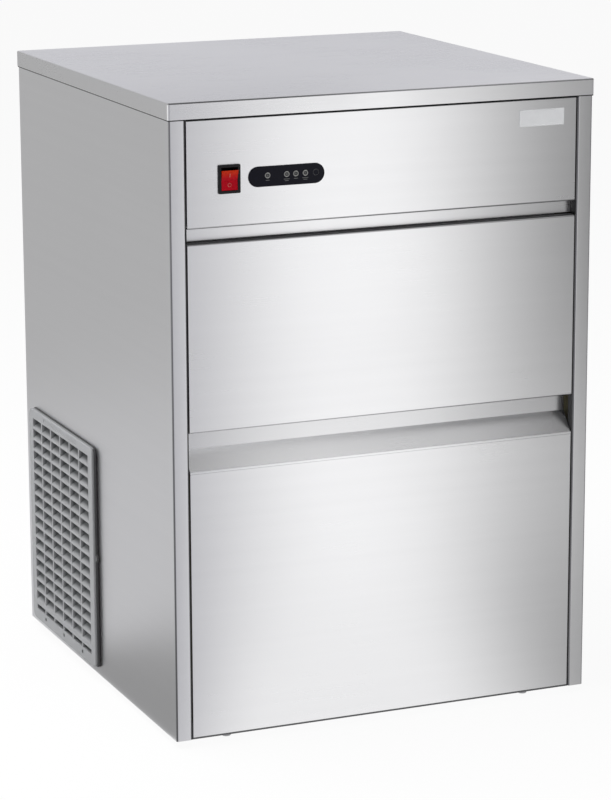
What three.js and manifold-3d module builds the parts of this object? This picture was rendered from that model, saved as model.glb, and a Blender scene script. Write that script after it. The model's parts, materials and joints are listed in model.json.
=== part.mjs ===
// Ice cube maker: a small under-counter machine in folded stainless sheet, with a top-hinged bin
// door, a moulded side grille, and a tilting water tray under dipping evaporator fingers.
// Millimetres, +Z up. Seen from the front, x runs to the right and y to the back. Every piece is
// placed from the front plane (y = 0), the middle (x = 0) and the floor (z = 0). The finished
// group is then moved so that the middle of its footprint is the origin.

import * as THREE from "three";
import { mergeVertices } from "three/addons/utils/BufferGeometryUtils.js";
import Module from "manifold-3d";

const wasm = await Module();
wasm.setup();

// Driving dimensions: cabinet

const cabinetWidth = 500;
const cabinetDepth = 510;
const overallHeight = 710;
const machineDepth = 262; // from the cabinet's back to the back of the bin's insulation
const sheet = 1;
const foldRadius = 1.5;
const seatGap = 0.3; // between a piece and what carries it
const overrun = 6; // how far a cut runs past the face that it opens
const weldDistance = 0.001;

const lidSkirt = 18;
const lidOverhang = 1.5;
const lidCornerRadius = 3;
const lidEdgeRadius = 1.6;
const frontFlange = 18;
const flangeReturn = 12;
const rearFlange = 18;
const frontSetback = 1; // the front panels lie this far behind the flanges' faces
const panelSideGap = 1.8;
const recessDepth = 19.3; // of the grip strip, from the flanges' faces
const railDepth = 12.3; // of the rail above the door

// Driving dimensions: front, from the lid's skirt downwards

const fasciaHeight = 117.5;
const fasciaReturn = 16;
const fasciaFootReturn = 9; // stops short of the rail
const railHeight = 14.5;
const railRise = 6; // the rail's height behind the fascia's lower fold
const doorGap = 1.6;
const doorHeight = 205.6;
const doorFold = 13;
const doorEdgeRadius = 2;
const hingeDrop = 9.7;
const hingeInset = 7;
const pinRadius = 2.5;
const pinReach = 9;
const pinClearance = 0.4;
const hingeBlockHeight = 16;
const hingeBlockDepth = 10;
const doorInnerMargin = 8;
const doorInnerDrop = 9;
const doorInnerFoot = 4;
const doorRunningGap = 1.3; // between the door's back and the recessed strips
const doorStiffenerDepth = 3;
const gripUpright = 21.2;
const gripSlope = 22.3;
const gripOverlap = 19; // the strip's height behind the door
const lowerPanelReturn = 12;
const lowerPanelFootGap = 1.5;

// Driving dimensions: bin

const linerStandOff = 2.2; // from the recessed strips to the liner's front
const linerWall = 3;
const linerCornerRadius = 8;
const linerFloorRise = 26; // from the insulation's underside to the liner's
const sideInsulation = 29;
const backInsulation = 16;
const sealWidth = 8;
const sealSideInset = 14;
const sealTopInset = 2;
const sealGripGap = 5;
const mouthCornerRadius = 10;
const chuteMouthHeight = 168;
const chuteMouthRoom = 6; // past the module plates, on each side
const chuteMouthDrop = 10; // from the deck's top up to the mouth's lower edge
const sensorRadius = 4;
const sensorLength = 110;
const sensorDrop = 14;
const sensorClipWidth = 12;
const sensorClipHeight = 20;
const sensorStandOff = 3;

// Driving dimensions: control fascia

const switchFromEdge = 67.7; // from the cabinet's left side to the switch's middle
const switchDrop = 66; // from the lid's skirt to the switch's middle
const bezelWidth = 25;
const bezelHeight = 31;
const bezelProud = 2;
const bezelCornerRadius = 1.2;
const bezelRim = 3;
const switchBodyInset = 1.8;
const switchBodyDepth = 22;
const rockerRunningGap = 0.4;
const rockerProud = 4.4;
const rockerDish = 2.2;
const rockerPivotDepth = 5;
const rockerBackRadius = 7;
const rockerSwing = 16; // degrees
const rockerPinRadius = 1.5;
const windowFromEdge = 133.4; // from the cabinet's left side to the window's middle
const windowWidth = 88;
const windowHeight = 22;
const windowProud = 0.8;
const windowRim = 2;
const windowBossDepth = 5;
const boardThickness = 1.6;
const boardMargin = 5;
const badgeWidth = 55;
const badgeHeight = 18.5;
const badgeThickness = 0.9;
const badgeCornerRadius = 1;
const badgeFromEdge = 62.5; // from the cabinet's right side to the badge's middle
const badgeDrop = 22;
const electronicsWidth = 140;
const electronicsDepth = 110;
const electronicsHeight = 62;
const electronicsWall = 2;
const electronicsFromSide = 50;
const electronicsBack = 60; // behind the rail

// Driving dimensions: base and feet

const footHeight = 8;
const footPadRadius = 5.5;
const footPadEdge = 0.8;
const footInset = 66.5; // from the cabinet's side
const footSetback = 22; // from the cabinet's front and back
const studRadius = 4;
const studClearance = 0.4;
const footBossRadius = 9;
const footBossHeight = 15;
const panEdge = 20;

// Driving dimensions: side grille

const grilleBehindBin = 4; // from the bin's back to the frame
const grilleAboveCondenser = 16;
const grilleRearInset = 28;
const grilleRise = 9; // above the cabinet's lower edge
const grilleProud = 6.5;
const grilleCornerRadius = 9;
const grilleEdgeRadius = 1.2;
const grilleBehind = 3; // how far the louvres reach in behind the side panel's outer face
const louvreFrontMargin = 11;
const louvreRearMargin = 14;
const louvreTopMargin = 9.5;
const louvreBottomMargin = 24.6;
const louvreRows = 17;
const louvreColumns = 6;
const louvreBlade = 2.2;
const louvreRib = 3;
const louvreRise = 7.2; // how much higher a blade's inner edge lies than its outer edge
const lowSlotHeight = 8.2;
const lowSlotDrop = 5;
const clipHoleWidth = 5;
const clipHoleHeight = 4.2;
const clipHoleDrop = 1.5;
const grilleNubRadius = 4.5;
const grilleNubReach = 3.5;
const grilleNubThickness = 3;
const grilleNubAboveMiddle = 1;
const grilleRecessWidth = 120;
const grilleRecessHeight = 4;
const grilleRecessDepth = 0.6;
const grilleRecessDrop = 3;
const grilleFrameLap = 4; // how far the frame covers the side panel round its cut-out
const filterThickness = 2.5;
const filterInset = 2;

// Driving dimensions: condenser and fan

const condenserStandOff = 3; // behind the air filter
const condenserThickness = 34;
const condenserTopShare = 0.718; // of the room between the base pan and the deck
const condenserRise = 36; // above the base pan
const condenserRearRoom = 40; // from the cabinet's back
const condenserPlate = 2;
const finPitch = 8;
const finSlot = 4.5;
const finDepth = 11.5;
const tubeRadius = 4;
const tubeClearance = 0.5;
const tubeRuns = 6;
const tubeEndMargin = 15;
const tubeReach = 3; // how far a run passes its end plate before it bends
const bendRoom = 4;
const shroudDepth = 26;
const shroudRim = 12;
const fanTipGap = 4;
const fanBehindShroud = 3;
const fanHubRadius = 18;
const fanHubLength = 24;
const fanBladeThickness = 1.8;
const fanBladePitch = 28; // degrees
const fanBladeRoot = 22;
const fanBladeTip = 52;
const fanBlades = 5;
const bladeRootShare = 0.8; // of the hub's radius, where a blade starts inside it
const shaftRadius = 3;
const shaftClearance = 0.3;
const motorRadius = 38;
const motorLength = 46;
const motorBossRadius = 12;
const motorBossLength = 6;
const bracketThickness = 2;
const bracketWidth = 90;
const bracketFoot = 30;
const bracketHead = 24;

// Driving dimensions: compressor and pipes

const compressorDepth = 138;
const compressorHeight = 165;
const compressorRightRoom = 62; // from the cabinet's side to the shell
const compressorLeftRoom = 59.6; // from the fan bracket's foot to the shell
const compressorFromBack = 125;
// The shell's profile as shares of its half width and of its height, from the bottom up.
const shellRadiusShares = [0.72, 0.93, 1, 1, 0.97, 0.95, 0.8, 0.45];
const shellHeightShares = [0, 0.042, 0.12, 0.5, 0.52, 0.72, 0.9, 0.985];
const terminalHeightShare = 0.42;
const suctionPlaceShare = 0.42;
const dischargePlaceShare = 0.33;
const mountHeight = 18;
const mountRadius = 12;
const mountNeckRadius = 6.5;
const mountNeckHeight = 9;
const mountClearance = 0.5;
const compressorPlate = 3;
const compressorPlateOverhang = 8;
const mountInset = 13;
const terminalWidth = 52;
const terminalHeight = 62;
const terminalDepth = 34;
const suctionRadius = 4.2;
const pipeBend = 14;
const pipeLevel = 130;
const drierRadius = 10;
const drierLength = 88;
const drierNeck = 8;
const capillaryRadius = 1.6;

// Driving dimensions: ice-making module

const moduleTopDrop = 60; // from the lid's top to the module plates' tops
const moduleHeight = 269;
const moduleSideRoom = 75; // from the cabinet's side to a module plate
const modulePlate = 2;
const moduleFlange = 25;
const moduleFrontRoom = 5;
const moduleRearRoom = 44;
const deckFold = 15;
const troughHeight = 19;
const troughWall = 2;
const troughSideGap = 4;
const drainRadius = 9;
const drainWall = 2;
const drainDrop = 16;
const drainFromRear = 16;
const drainOutletHeight = 60;
const hoseClearance = 0.3;
const hoseWall = 2.2;
const hoseBend = 28;
const spigotFlangeRadius = 17;
const spigotFlange = 3;
const spigotOutside = 20;
const spigotInside = 8;
const chuteThickness = 2;
const chuteSide = 20;
const chuteRun = 5; // how far the chute reaches into the bin
const chuteLowRise = 17; // above the deck
const chuteHighRise = 87;
const chuteSlots = 9;
const chuteSlotWidth = 6;
const chuteSlotMargin = 26;
const trayPivotRearRoom = 20;
const trayPivotDrop = 40; // below the module's top
const traySideRoom = 50; // from a module plate to the tray's side
const trayLength = 139;
const trayHeight = 58;
const trayWall = 3;
const trayPivotBack = 7; // from the tray's back to its pivot
const trayRimAbovePivot = 5;
const trayEarHeight = 20;
const stubRadius = 6;
const stubClearance = 0.3;
const fingerRows = 3;
const fingerSideRoom = 35; // from the tray's side to the outer fingers' middles
const fingerPitch = 36;
const fingerRadius = 8.5;
const fingerLength = 68;
const fingerTipShares = [0.6, 0.25]; // of the radius: the tip's flat and the height of its cone
const evaporatorPlate = 4;
const evaporatorMargin = 21;
const evaporatorFrontRoom = 26; // from the tray's front to the first row of fingers
const coilRadius = 5;
const coilReach = 12;
const coilSink = 0.5; // the depth of the solder seam under the coil
const paddleShaftRadius = 4;
const paddleFloorGap = 4;
const paddleLength = 30;
const paddleWidth = 13;
const paddleThickness = 2;
const paddleMotorSize = 38;
const paddleMotorLength = 30;
const tiltMotorLength = 38;
const tiltMotorWidth = 52;
const tiltMotorHeight = 64;
const tiltSocketDepth = 9;
const tiltShaftShare = 0.3; // of the gear motor's height, from its top down to its shaft

// Driving dimensions: back

const backPanelInset = 3.4; // from the side walls
const backPanelFoot = 4;
const ventRows = 10;
const ventColumns = 2;
const ventSideRoom = 22;
const ventHeight = 5;
const ventPitch = 15;
const ventColumnGap = 20;
const ventFromMiddle = 40;
const ventRise = 52;
const valveFromSide = 45;
const valveDrop = 112; // from the lid's top
const valveThreadRadius = 12.5;
const valveThreadLength = 15;
const valveBoreRadius = 8;
const valveFlangeRadius = 16;
const valveBodyRadius = 13;
const valveBodyLength = 26;
const valveCoilWidth = 26;
const valveCoilHeight = 34;
const valveCoilDepth = 18;
const valveOutletRadius = 5;
const valveOutletLength = 12;
const fillPipeRadius = 4;
const fillRiseDrop = 33; // from the lid's top to the fill pipe's run
const fillSideRoom = 27; // from the tray's side to the fill pipe
const fillTipGap = 7;
const glandFromSide = 45;
const glandHeight = 240;
const glandRadius = 9;
const glandNutRadius = 13;
const glandNutLength = 9;
const glandDomeLength = 10;
const glandBoreRadius = 4.5;
const glandInside = 12;

// Places worked out from the sizes

const halfWidth = cabinetWidth / 2;
const wallInside = halfWidth - sheet;
const flangeInside = halfWidth - frontFlange;
const bodyBottom = footHeight;
const lidUnderside = overallHeight - sheet;
const sidePanelTop = lidUnderside - seatGap;
const skirtBottom = overallHeight - lidSkirt;

const panelHalf = flangeInside - panelSideGap;
const frontFace = frontSetback;
const fasciaBottom = skirtBottom - fasciaHeight;
const railBottom = fasciaBottom - railHeight;
const shelfTop = fasciaBottom + railRise;
const doorTop = railBottom - doorGap;
const doorBottom = doorTop - doorHeight;
const gripKnee = doorBottom - gripUpright;
const gripTop = doorBottom + gripOverlap;
const lowerPanelTop = gripKnee - gripSlope;
const lowerPanelBottom = bodyBottom + lowerPanelFootGap;
const hingeY = frontFace + hingeInset;
const hingeZ = doorTop - hingeDrop;
const doorBack = recessDepth - doorRunningGap;
const doorInnerHalf = panelHalf - doorInnerMargin;
const doorInnerTop = hingeZ - doorInnerDrop;
const doorInnerBottom = doorBottom + doorInnerFoot;

const linerFront = recessDepth + sheet + linerStandOff;
const binBack = cabinetDepth - machineDepth;
const linerBack = binBack - backInsulation - seatGap;
const linerHalf = wallInside - sideInsulation - seatGap;
const panTop = bodyBottom + panEdge;
const foamBottom = panTop + seatGap;
const linerBottom = foamBottom + linerFloorRise;
const linerTop = shelfTop - sheet - seatGap;
const sealHalf = doorInnerHalf - sealSideInset;
const sealTop = doorInnerTop - sealTopInset;
const sealBottom = gripTop + sealGripGap;
const panFloorTop = bodyBottom + sheet;
const panFront = frontFace + sheet + seatGap;

const moduleHalf = halfWidth - moduleSideRoom;
const chuteMouthHalf = moduleHalf + chuteMouthRoom;
const moduleTop = overallHeight - moduleTopDrop;
const deckTop = moduleTop - moduleHeight - seatGap;
const moduleFront = binBack + moduleFrontRoom;
const moduleRear = cabinetDepth - moduleRearRoom;
const backInside = cabinetDepth - sheet - seatGap - sheet; // the back panel's inner face
const backOutside = backInside + sheet;
const valveX = -halfWidth + valveFromSide;
const glandX = halfWidth - glandFromSide;

const condenserBottom = panFloorTop + condenserRise;
const condenserTop = panFloorTop + (deckTop - deckFold - panFloorTop) * condenserTopShare;
const condenserHeight = condenserTop - condenserBottom;

const X = new THREE.Vector3(1, 0, 0);
const Y = new THREE.Vector3(0, 1, 0);
const Z = new THREE.Vector3(0, 0, 1);

// Finishes

const brushedSteel = { color: 0xc9cacd, roughness: 0.34, metalness: 1 };
const galvanised = { color: 0xaab0b4, roughness: 0.5, metalness: 0.9 };
const brightPlate = { color: 0xdcdde0, roughness: 0.18, metalness: 1 };
const greyPlastic = { color: 0xa9aaae, roughness: 0.55, metalness: 0 };
const whitePlastic = { color: 0xe9ebec, roughness: 0.45, metalness: 0 };
const blackPlastic = { color: 0x1c1c1e, roughness: 0.45, metalness: 0 };
const glossBlack = { color: 0x0b0b10, roughness: 0.12, metalness: 0 };
const redPlastic = { color: 0xc8141c, roughness: 0.25, metalness: 0 };
const foam = { color: 0xe8dcb4, roughness: 0.9, metalness: 0 };
const rubber = { color: 0x26272a, roughness: 0.8, metalness: 0 };
const copper = { color: 0xb9714a, roughness: 0.35, metalness: 1 };
const nickel = { color: 0xbcbab2, roughness: 0.25, metalness: 1 };
const aluminium = { color: 0xb5b8bb, roughness: 0.45, metalness: 1 };
const blackPaint = { color: 0x18191b, roughness: 0.4, metalness: 0.2 };
const boardGreen = { color: 0x1f5b38, roughness: 0.5, metalness: 0 };
const filterGrey = { color: 0x3b3d40, roughness: 0.95, metalness: 0 };
const pinSteel = { color: 0x9a9ca0, roughness: 0.3, metalness: 1 };

// Making solids

function solid(geometry) {
  const bare = geometry.index ? geometry.toNonIndexed() : geometry;
  const points = new THREE.BufferGeometry();
  points.setAttribute("position", bare.getAttribute("position"));
  const merged = mergeVertices(points, weldDistance);
  const vertProperties = merged.attributes.position.array;
  const triVerts = new Uint32Array(merged.index.array);
  return new wasm.Manifold(new wasm.Mesh({ numProp: 3, vertProperties, triVerts }));
}

function geometryOf(shape) {
  const { vertProperties, triVerts } = shape.getMesh();
  const geometry = new THREE.BufferGeometry();
  geometry.setAttribute("position", new THREE.BufferAttribute(vertProperties, 3));
  geometry.setIndex(new THREE.BufferAttribute(triVerts, 1));
  return geometry.toNonIndexed();
}

function joined(shapes) {
  return shapes.reduce((whole, next) => whole.add(next));
}

function cut(shape, tools) {
  return tools.reduce((rest, tool) => rest.subtract(tool), shape);
}

function piece(group, name, finish, shape) {
  const geometry = shape instanceof THREE.BufferGeometry ? shape : geometryOf(shape);
  geometry.computeVertexNormals();
  const mesh = new THREE.Mesh(geometry, new THREE.MeshStandardMaterial(finish));
  mesh.name = name;
  group.add(mesh);
  return mesh;
}

function groupAt(parent, x, y, z) {
  const group = new THREE.Group();
  group.position.set(x, y, z);
  parent.add(group);
  return group;
}

function block([x0, x1], [y0, y1], [z0, z1]) {
  const geometry = new THREE.BoxGeometry(x1 - x0, y1 - y0, z1 - z0);
  return solid(geometry.translate((x0 + x1) / 2, (y0 + y1) / 2, (z0 + z1) / 2));
}

// Turns a geometry drawn along z so that it lies along another axis. For y, an outline drawn in
// (x, z) starts at the back and is drawn towards the front.
function turnedTo(axis, geometry) {
  const basis = new THREE.Matrix4();
  if (axis === X) basis.makeBasis(Y, Z, X);
  if (axis === Y) basis.makeBasis(X, Z, Y.clone().negate());
  return geometry.applyMatrix4(basis);
}

function extruded(axis, points, from, to) {
  const shape = new THREE.Shape(points);
  const geometry = new THREE.ExtrudeGeometry(shape, { depth: to - from, bevelEnabled: false });
  turnedTo(axis, geometry);
  const start = axis === Y ? to : from;
  return solid(geometry.translate(...axis.clone().multiplyScalar(start)));
}

// A slab whose edges are rounded at both ends of its axis.
function softSlab(axis, points, from, to, edgeRadius, edgeSteps) {
  const geometry = new THREE.ExtrudeGeometry(new THREE.Shape(points), {
    depth: to - from - 2 * edgeRadius,
    bevelThickness: edgeRadius,
    bevelSize: edgeRadius,
    bevelOffset: -edgeRadius,
    bevelSegments: edgeSteps,
  });
  turnedTo(axis, geometry);
  const start = axis === Y ? to - edgeRadius : from + edgeRadius;
  return solid(geometry.translate(...axis.clone().multiplyScalar(start)));
}

function arc(cx, cy, radius, fromDegrees, toDegrees, steps) {
  return Array.from({ length: steps + 1 }, (_, i) => {
    const angle = THREE.MathUtils.degToRad(fromDegrees + ((toDegrees - fromDegrees) * i) / steps);
    return new THREE.Vector2(cx + radius * Math.cos(angle), cy + radius * Math.sin(angle));
  });
}

function roundedRectangle([u0, u1], [v0, v1], radius, steps) {
  return [
    ...arc(u1 - radius, v0 + radius, radius, -90, 0, steps),
    ...arc(u1 - radius, v1 - radius, radius, 0, 90, steps),
    ...arc(u0 + radius, v1 - radius, radius, 90, 180, steps),
    ...arc(u0 + radius, v0 + radius, radius, 180, 270, steps),
  ];
}

function points(...pairs) {
  return pairs.map(([u, v]) => new THREE.Vector2(u, v));
}

// Rounds the corners of an open line with arcs.
function withRoundCorners(line, radius, steps) {
  const rounded = [line[0]];
  for (let i = 1; i < line.length - 1; i++) {
    const back = line[i - 1].clone().sub(line[i]).normalize();
    const on = line[i + 1].clone().sub(line[i]).normalize();
    const half = back.angleTo(on) / 2;
    const reach = radius / Math.tan(half);
    const from = line[i].clone().addScaledVector(back, reach);
    const to = line[i].clone().addScaledVector(on, reach);
    const middle = back.clone().add(on).normalize();
    const centre = line[i].clone().addScaledVector(middle, radius / Math.sin(half));
    for (let s = 0; s <= steps; s++) {
      const spoke = from.clone().lerp(to, s / steps).sub(centre).normalize();
      rounded.push(centre.clone().addScaledVector(spoke, radius));
    }
  }
  rounded.push(line[line.length - 1]);
  return rounded;
}

// The outline of a folded sheet, from the middle line of its section.
function foldedOutline(corners, thickness, radius) {
  const steps = 3;
  const line = withRoundCorners(corners, radius, steps);
  const normals = line.slice(1).map((p, i) => {
    const along = p.clone().sub(line[i]).normalize();
    return new THREE.Vector2(-along.y, along.x);
  });
  const offset = (sign) =>
    line.map((p, i) => {
      const before = normals[Math.max(i - 1, 0)];
      const after = normals[Math.min(i, normals.length - 1)];
      const mitre = before.clone().add(after).normalize();
      return p.clone().addScaledVector(mitre, (sign * thickness) / 2 / mitre.dot(before));
    });
  return [...offset(1), ...offset(-1).reverse()];
}

function folded(axis, corners, from, to) {
  return extruded(axis, foldedOutline(points(...corners), sheet, foldRadius), from, to);
}

const roundSides = 12;

function rod(axis, radius, from, to, [x, y, z], sides = roundSides) {
  const circle = arc(0, 0, radius, 0, 360 - 360 / sides, sides - 1);
  return extruded(axis, circle, from, to).translate([x, y, z]);
}

// A solid turned about z from a profile of radius and height, which starts and ends on the axis.
function turned(profile, sides = roundSides) {
  const geometry = new THREE.LatheGeometry(points(...profile), sides);
  return solid(geometry.rotateX(Math.PI / 2));
}

function turnedAlong(axis, profile, sides = roundSides) {
  const geometry = new THREE.LatheGeometry(points(...profile), sides).rotateX(Math.PI / 2);
  const basis = new THREE.Matrix4();
  if (axis === X) basis.makeBasis(Y, Z, X);
  if (axis === Y) basis.makeBasis(Z, X, Y);
  return solid(geometry.applyMatrix4(basis));
}

// A route of straight runs and round bends, with a ring only where the direction changes.
class PipeRoute extends THREE.Curve {
  constructor(corners, radius, steps) {
    super();
    const line = corners.map((corner) => new THREE.Vector3(...corner));
    this.rings = withRoundCorners(line, radius, steps);
    this.steps = this.rings.length - 1;
  }
  getPoint(t) {
    const place = Math.min(t * this.steps, this.steps - 1e-9);
    const ring = Math.floor(place);
    return this.rings[ring].clone().lerp(this.rings[ring + 1], place - ring);
  }
  getPointAt(u) {
    return this.getPoint(u);
  }
  getTangentAt(u) {
    const ring = Math.round(u * this.steps);
    const before = this.rings[Math.max(ring - 1, 0)];
    const after = this.rings[Math.min(ring + 1, this.steps)];
    return after.clone().sub(before).normalize();
  }
}

function pipe(corners, radius, bend, sides = 8, steps = 4) {
  const route = new PipeRoute(corners, bend, steps);
  const circle = new THREE.Shape(arc(0, 0, radius, 0, 360 - 360 / sides, sides - 1));
  return new THREE.ExtrudeGeometry(circle, { steps: route.steps, extrudePath: route });
}

const machine = new THREE.Group();

// Cabinet sheets

function sidePanelSolid() {
  const middle = sheet / 2;
  const wall = halfWidth - middle;
  return folded(
    Z,
    [
      [flangeInside + middle, flangeReturn],
      [flangeInside + middle, middle],
      [wall, middle],
      [wall, cabinetDepth - middle],
      [halfWidth - rearFlange, cabinetDepth - middle],
    ],
    bodyBottom,
    sidePanelTop,
  ).subtract(
    rod(X, pinRadius + pinClearance, flangeInside - overrun, flangeInside + sheet + overrun, [
      0,
      hingeY,
      hingeZ,
    ]),
  );
}

const grilleRear = cabinetDepth - grilleRearInset;
const grilleFront = binBack + grilleBehindBin;
const grilleBottom = bodyBottom + grilleRise;
const grilleTop = condenserTop + grilleAboveCondenser;
const louvreFront = grilleFront + louvreFrontMargin;
const louvreRear = grilleRear - louvreRearMargin;
const louvreBottom = grilleBottom + louvreBottomMargin;
const louvreTop = grilleTop - louvreTopMargin;
const lowSlotTop = louvreBottom - lowSlotDrop;
const cutOutTop = grilleTop - grilleFrameLap;
const cutOutBottom = lowSlotTop - lowSlotHeight;
const cutOutFront = louvreFront - louvreRib;
const cutOutRear = louvreRear + louvreRib;

function buildSidePanels() {
  piece(machine, "right_side_panel", brushedSteel, sidePanelSolid());
  const cutOut = block(
    [-halfWidth - overrun, -wallInside + overrun],
    [cutOutFront, cutOutRear],
    [cutOutBottom, cutOutTop],
  );
  piece(machine, "left_side_panel", brushedSteel, sidePanelSolid().mirror([1, 0, 0]).subtract(cutOut));
}

function buildLid() {
  const outerHalf = halfWidth + lidOverhang;
  const cornerSteps = 3;
  const outline = roundedRectangle(
    [-outerHalf, outerHalf],
    [-lidOverhang, cabinetDepth + lidOverhang],
    lidCornerRadius,
    cornerSteps,
  );
  const outer = softSlab(Z, outline, skirtBottom - overrun, overallHeight, lidEdgeRadius, cornerSteps);
  const below = block(
    [-outerHalf - overrun, outerHalf + overrun],
    [-lidOverhang - overrun, cabinetDepth + lidOverhang + overrun],
    [skirtBottom - 2 * overrun, skirtBottom],
  );
  const innerHalf = outerHalf - sheet;
  const hollow = block(
    [-innerHalf, innerHalf],
    [-lidOverhang + sheet, cabinetDepth + lidOverhang - sheet],
    [skirtBottom - overrun, lidUnderside],
  );
  piece(machine, "top_panel", brushedSteel, cut(outer, [below, hollow]));
}

// The front of a flat panel with a rounded fold along its top and its bottom.
function foldedFront(top, bottom, topReturn, bottomReturn) {
  const middle = sheet / 2;
  const line = [[frontFace + middle, bottom + middle]];
  if (bottomReturn) line.unshift([frontFace + bottomReturn, bottom + middle]);
  line.push([frontFace + middle, top - middle]);
  if (topReturn) line.push([frontFace + topReturn, top - middle]);
  return folded(X, line, -panelHalf, panelHalf);
}

const switchX = -halfWidth + switchFromEdge;
const switchZ = skirtBottom - switchDrop;
const windowX = -halfWidth + windowFromEdge;
const windowZ = switchZ;
const bodyWidth = bezelWidth - 2 * switchBodyInset;
const bodyHeight = bezelHeight - 2 * switchBodyInset;
const pillSteps = 6;

function pill(width, height) {
  return roundedRectangle([-width / 2, width / 2], [-height / 2, height / 2], height / 2, pillSteps);
}

function buildFascia() {
  const skin = foldedFront(sidePanelTop, fasciaBottom, fasciaReturn, fasciaFootReturn);
  const switchHole = block(
    [switchX - bodyWidth / 2 - seatGap, switchX + bodyWidth / 2 + seatGap],
    [frontFace - overrun, frontFace + sheet + overrun],
    [switchZ - bodyHeight / 2 - seatGap, switchZ + bodyHeight / 2 + seatGap],
  );
  const windowHole = extruded(
    Y,
    pill(windowWidth - 2 * windowRim + 2 * seatGap, windowHeight - 2 * windowRim + 2 * seatGap),
    frontFace - overrun,
    frontFace + sheet + overrun,
  ).translate([windowX, 0, windowZ]);
  piece(machine, "control_fascia", brushedSteel, cut(skin, [switchHole, windowHole]));
}

function buildShelf() {
  const middle = sheet / 2;
  const shelf = folded(
    X,
    [
      [railDepth + middle, railBottom],
      [railDepth + middle, shelfTop - middle],
      [binBack, shelfTop - middle],
    ],
    -wallInside + seatGap,
    wallInside - seatGap,
  );
  piece(machine, "header_shelf", brushedSteel, shelf);
}

function buildGripStrip() {
  const middle = sheet / 2;
  const strip = folded(
    X,
    [
      [recessDepth + middle, gripTop],
      [recessDepth + middle, gripKnee],
      [frontFace + foldRadius, lowerPanelTop + seatGap + middle],
    ],
    -panelHalf,
    panelHalf,
  );
  piece(machine, "finger_recess", brushedSteel, strip);
}

function buildLowerPanel() {
  const panel = foldedFront(lowerPanelTop, lowerPanelBottom, lowerPanelReturn, 0);
  piece(machine, "lower_front_panel", brushedSteel, panel);
}

function footPlaces() {
  const across = halfWidth - footInset;
  return [
    ["front_left", -across, footSetback],
    ["front_right", across, footSetback],
    ["rear_left", -across, cabinetDepth - footSetback],
    ["rear_right", across, cabinetDepth - footSetback],
  ];
}

function buildBasePan() {
  const half = wallInside - seatGap;
  const back = backInside - seatGap;
  const tray = block([-half, half], [panFront, back], [bodyBottom, panTop]).subtract(
    block(
      [-half + sheet, half - sheet],
      [panFront + sheet, back - sheet],
      [panFloorTop, panTop + overrun],
    ),
  );
  // The front corners stop short of the side panels' folded edges.
  const notches = [-1, 1].map((side) => {
    const inner = side * (flangeInside - seatGap);
    const outer = side * (half + overrun);
    return block(
      [Math.min(inner, outer), Math.max(inner, outer)],
      [panFront - overrun, flangeReturn + seatGap],
      [bodyBottom - overrun, panTop + overrun],
    );
  });
  const bosses = footPlaces().map(([, x, y]) =>
    rod(Z, footBossRadius, bodyBottom, panFloorTop + footBossHeight, [x, y, 0]),
  );
  const holes = footPlaces().map(([, x, y]) =>
    rod(Z, studRadius + studClearance, bodyBottom - overrun, panTop + overrun, [x, y, 0]),
  );
  piece(machine, "base_pan", galvanised, cut(joined([tray, ...bosses]), [...notches, ...holes]));
}

function buildFeet() {
  for (const [place, x, y] of footPlaces()) {
    const foot = groupAt(machine, x, y, 0);
    const padTop = footHeight - seatGap;
    const shape = turned([
      [0, 0],
      [footPadRadius - footPadEdge, 0],
      [footPadRadius, footPadEdge],
      [footPadRadius, padTop],
      [studRadius, padTop],
      [studRadius, panTop],
      [0, panTop],
    ], 16);
    piece(foot, "levelling_foot_" + place, pinSteel, shape);
  }
}

function buildBackPanel() {
  const half = wallInside - backPanelInset;
  const bottom = bodyBottom + backPanelFoot;
  const panel = block([-half, half], [backInside, backOutside], [bottom, sidePanelTop - sheet]);
  const through = [backInside - overrun, backOutside + overrun];
  const ventRoom = halfWidth - ventSideRoom - ventFromMiddle;
  const ventWidth = (ventRoom - (ventColumns - 1) * ventColumnGap) / ventColumns;
  const vents = [];
  for (let row = 0; row < ventRows; row++) {
    for (let column = 0; column < ventColumns; column++) {
      const x = ventFromMiddle + column * (ventWidth + ventColumnGap);
      const z = bodyBottom + ventRise + row * ventPitch;
      vents.push(block([x, x + ventWidth], through, [z, z + ventHeight]));
    }
  }
  const holes = [
    [valveX, valveZ, valveBodyRadius],
    [0, drainOutletHeight, drainRadius],
    [glandX, glandHeight, glandRadius],
  ].map(([x, z, radius]) => rod(Y, radius + seatGap, ...through, [x, 0, z]));
  piece(machine, "back_panel", galvanised, cut(panel, [...vents, ...holes]));
}

// Control fascia's own pieces

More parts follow.
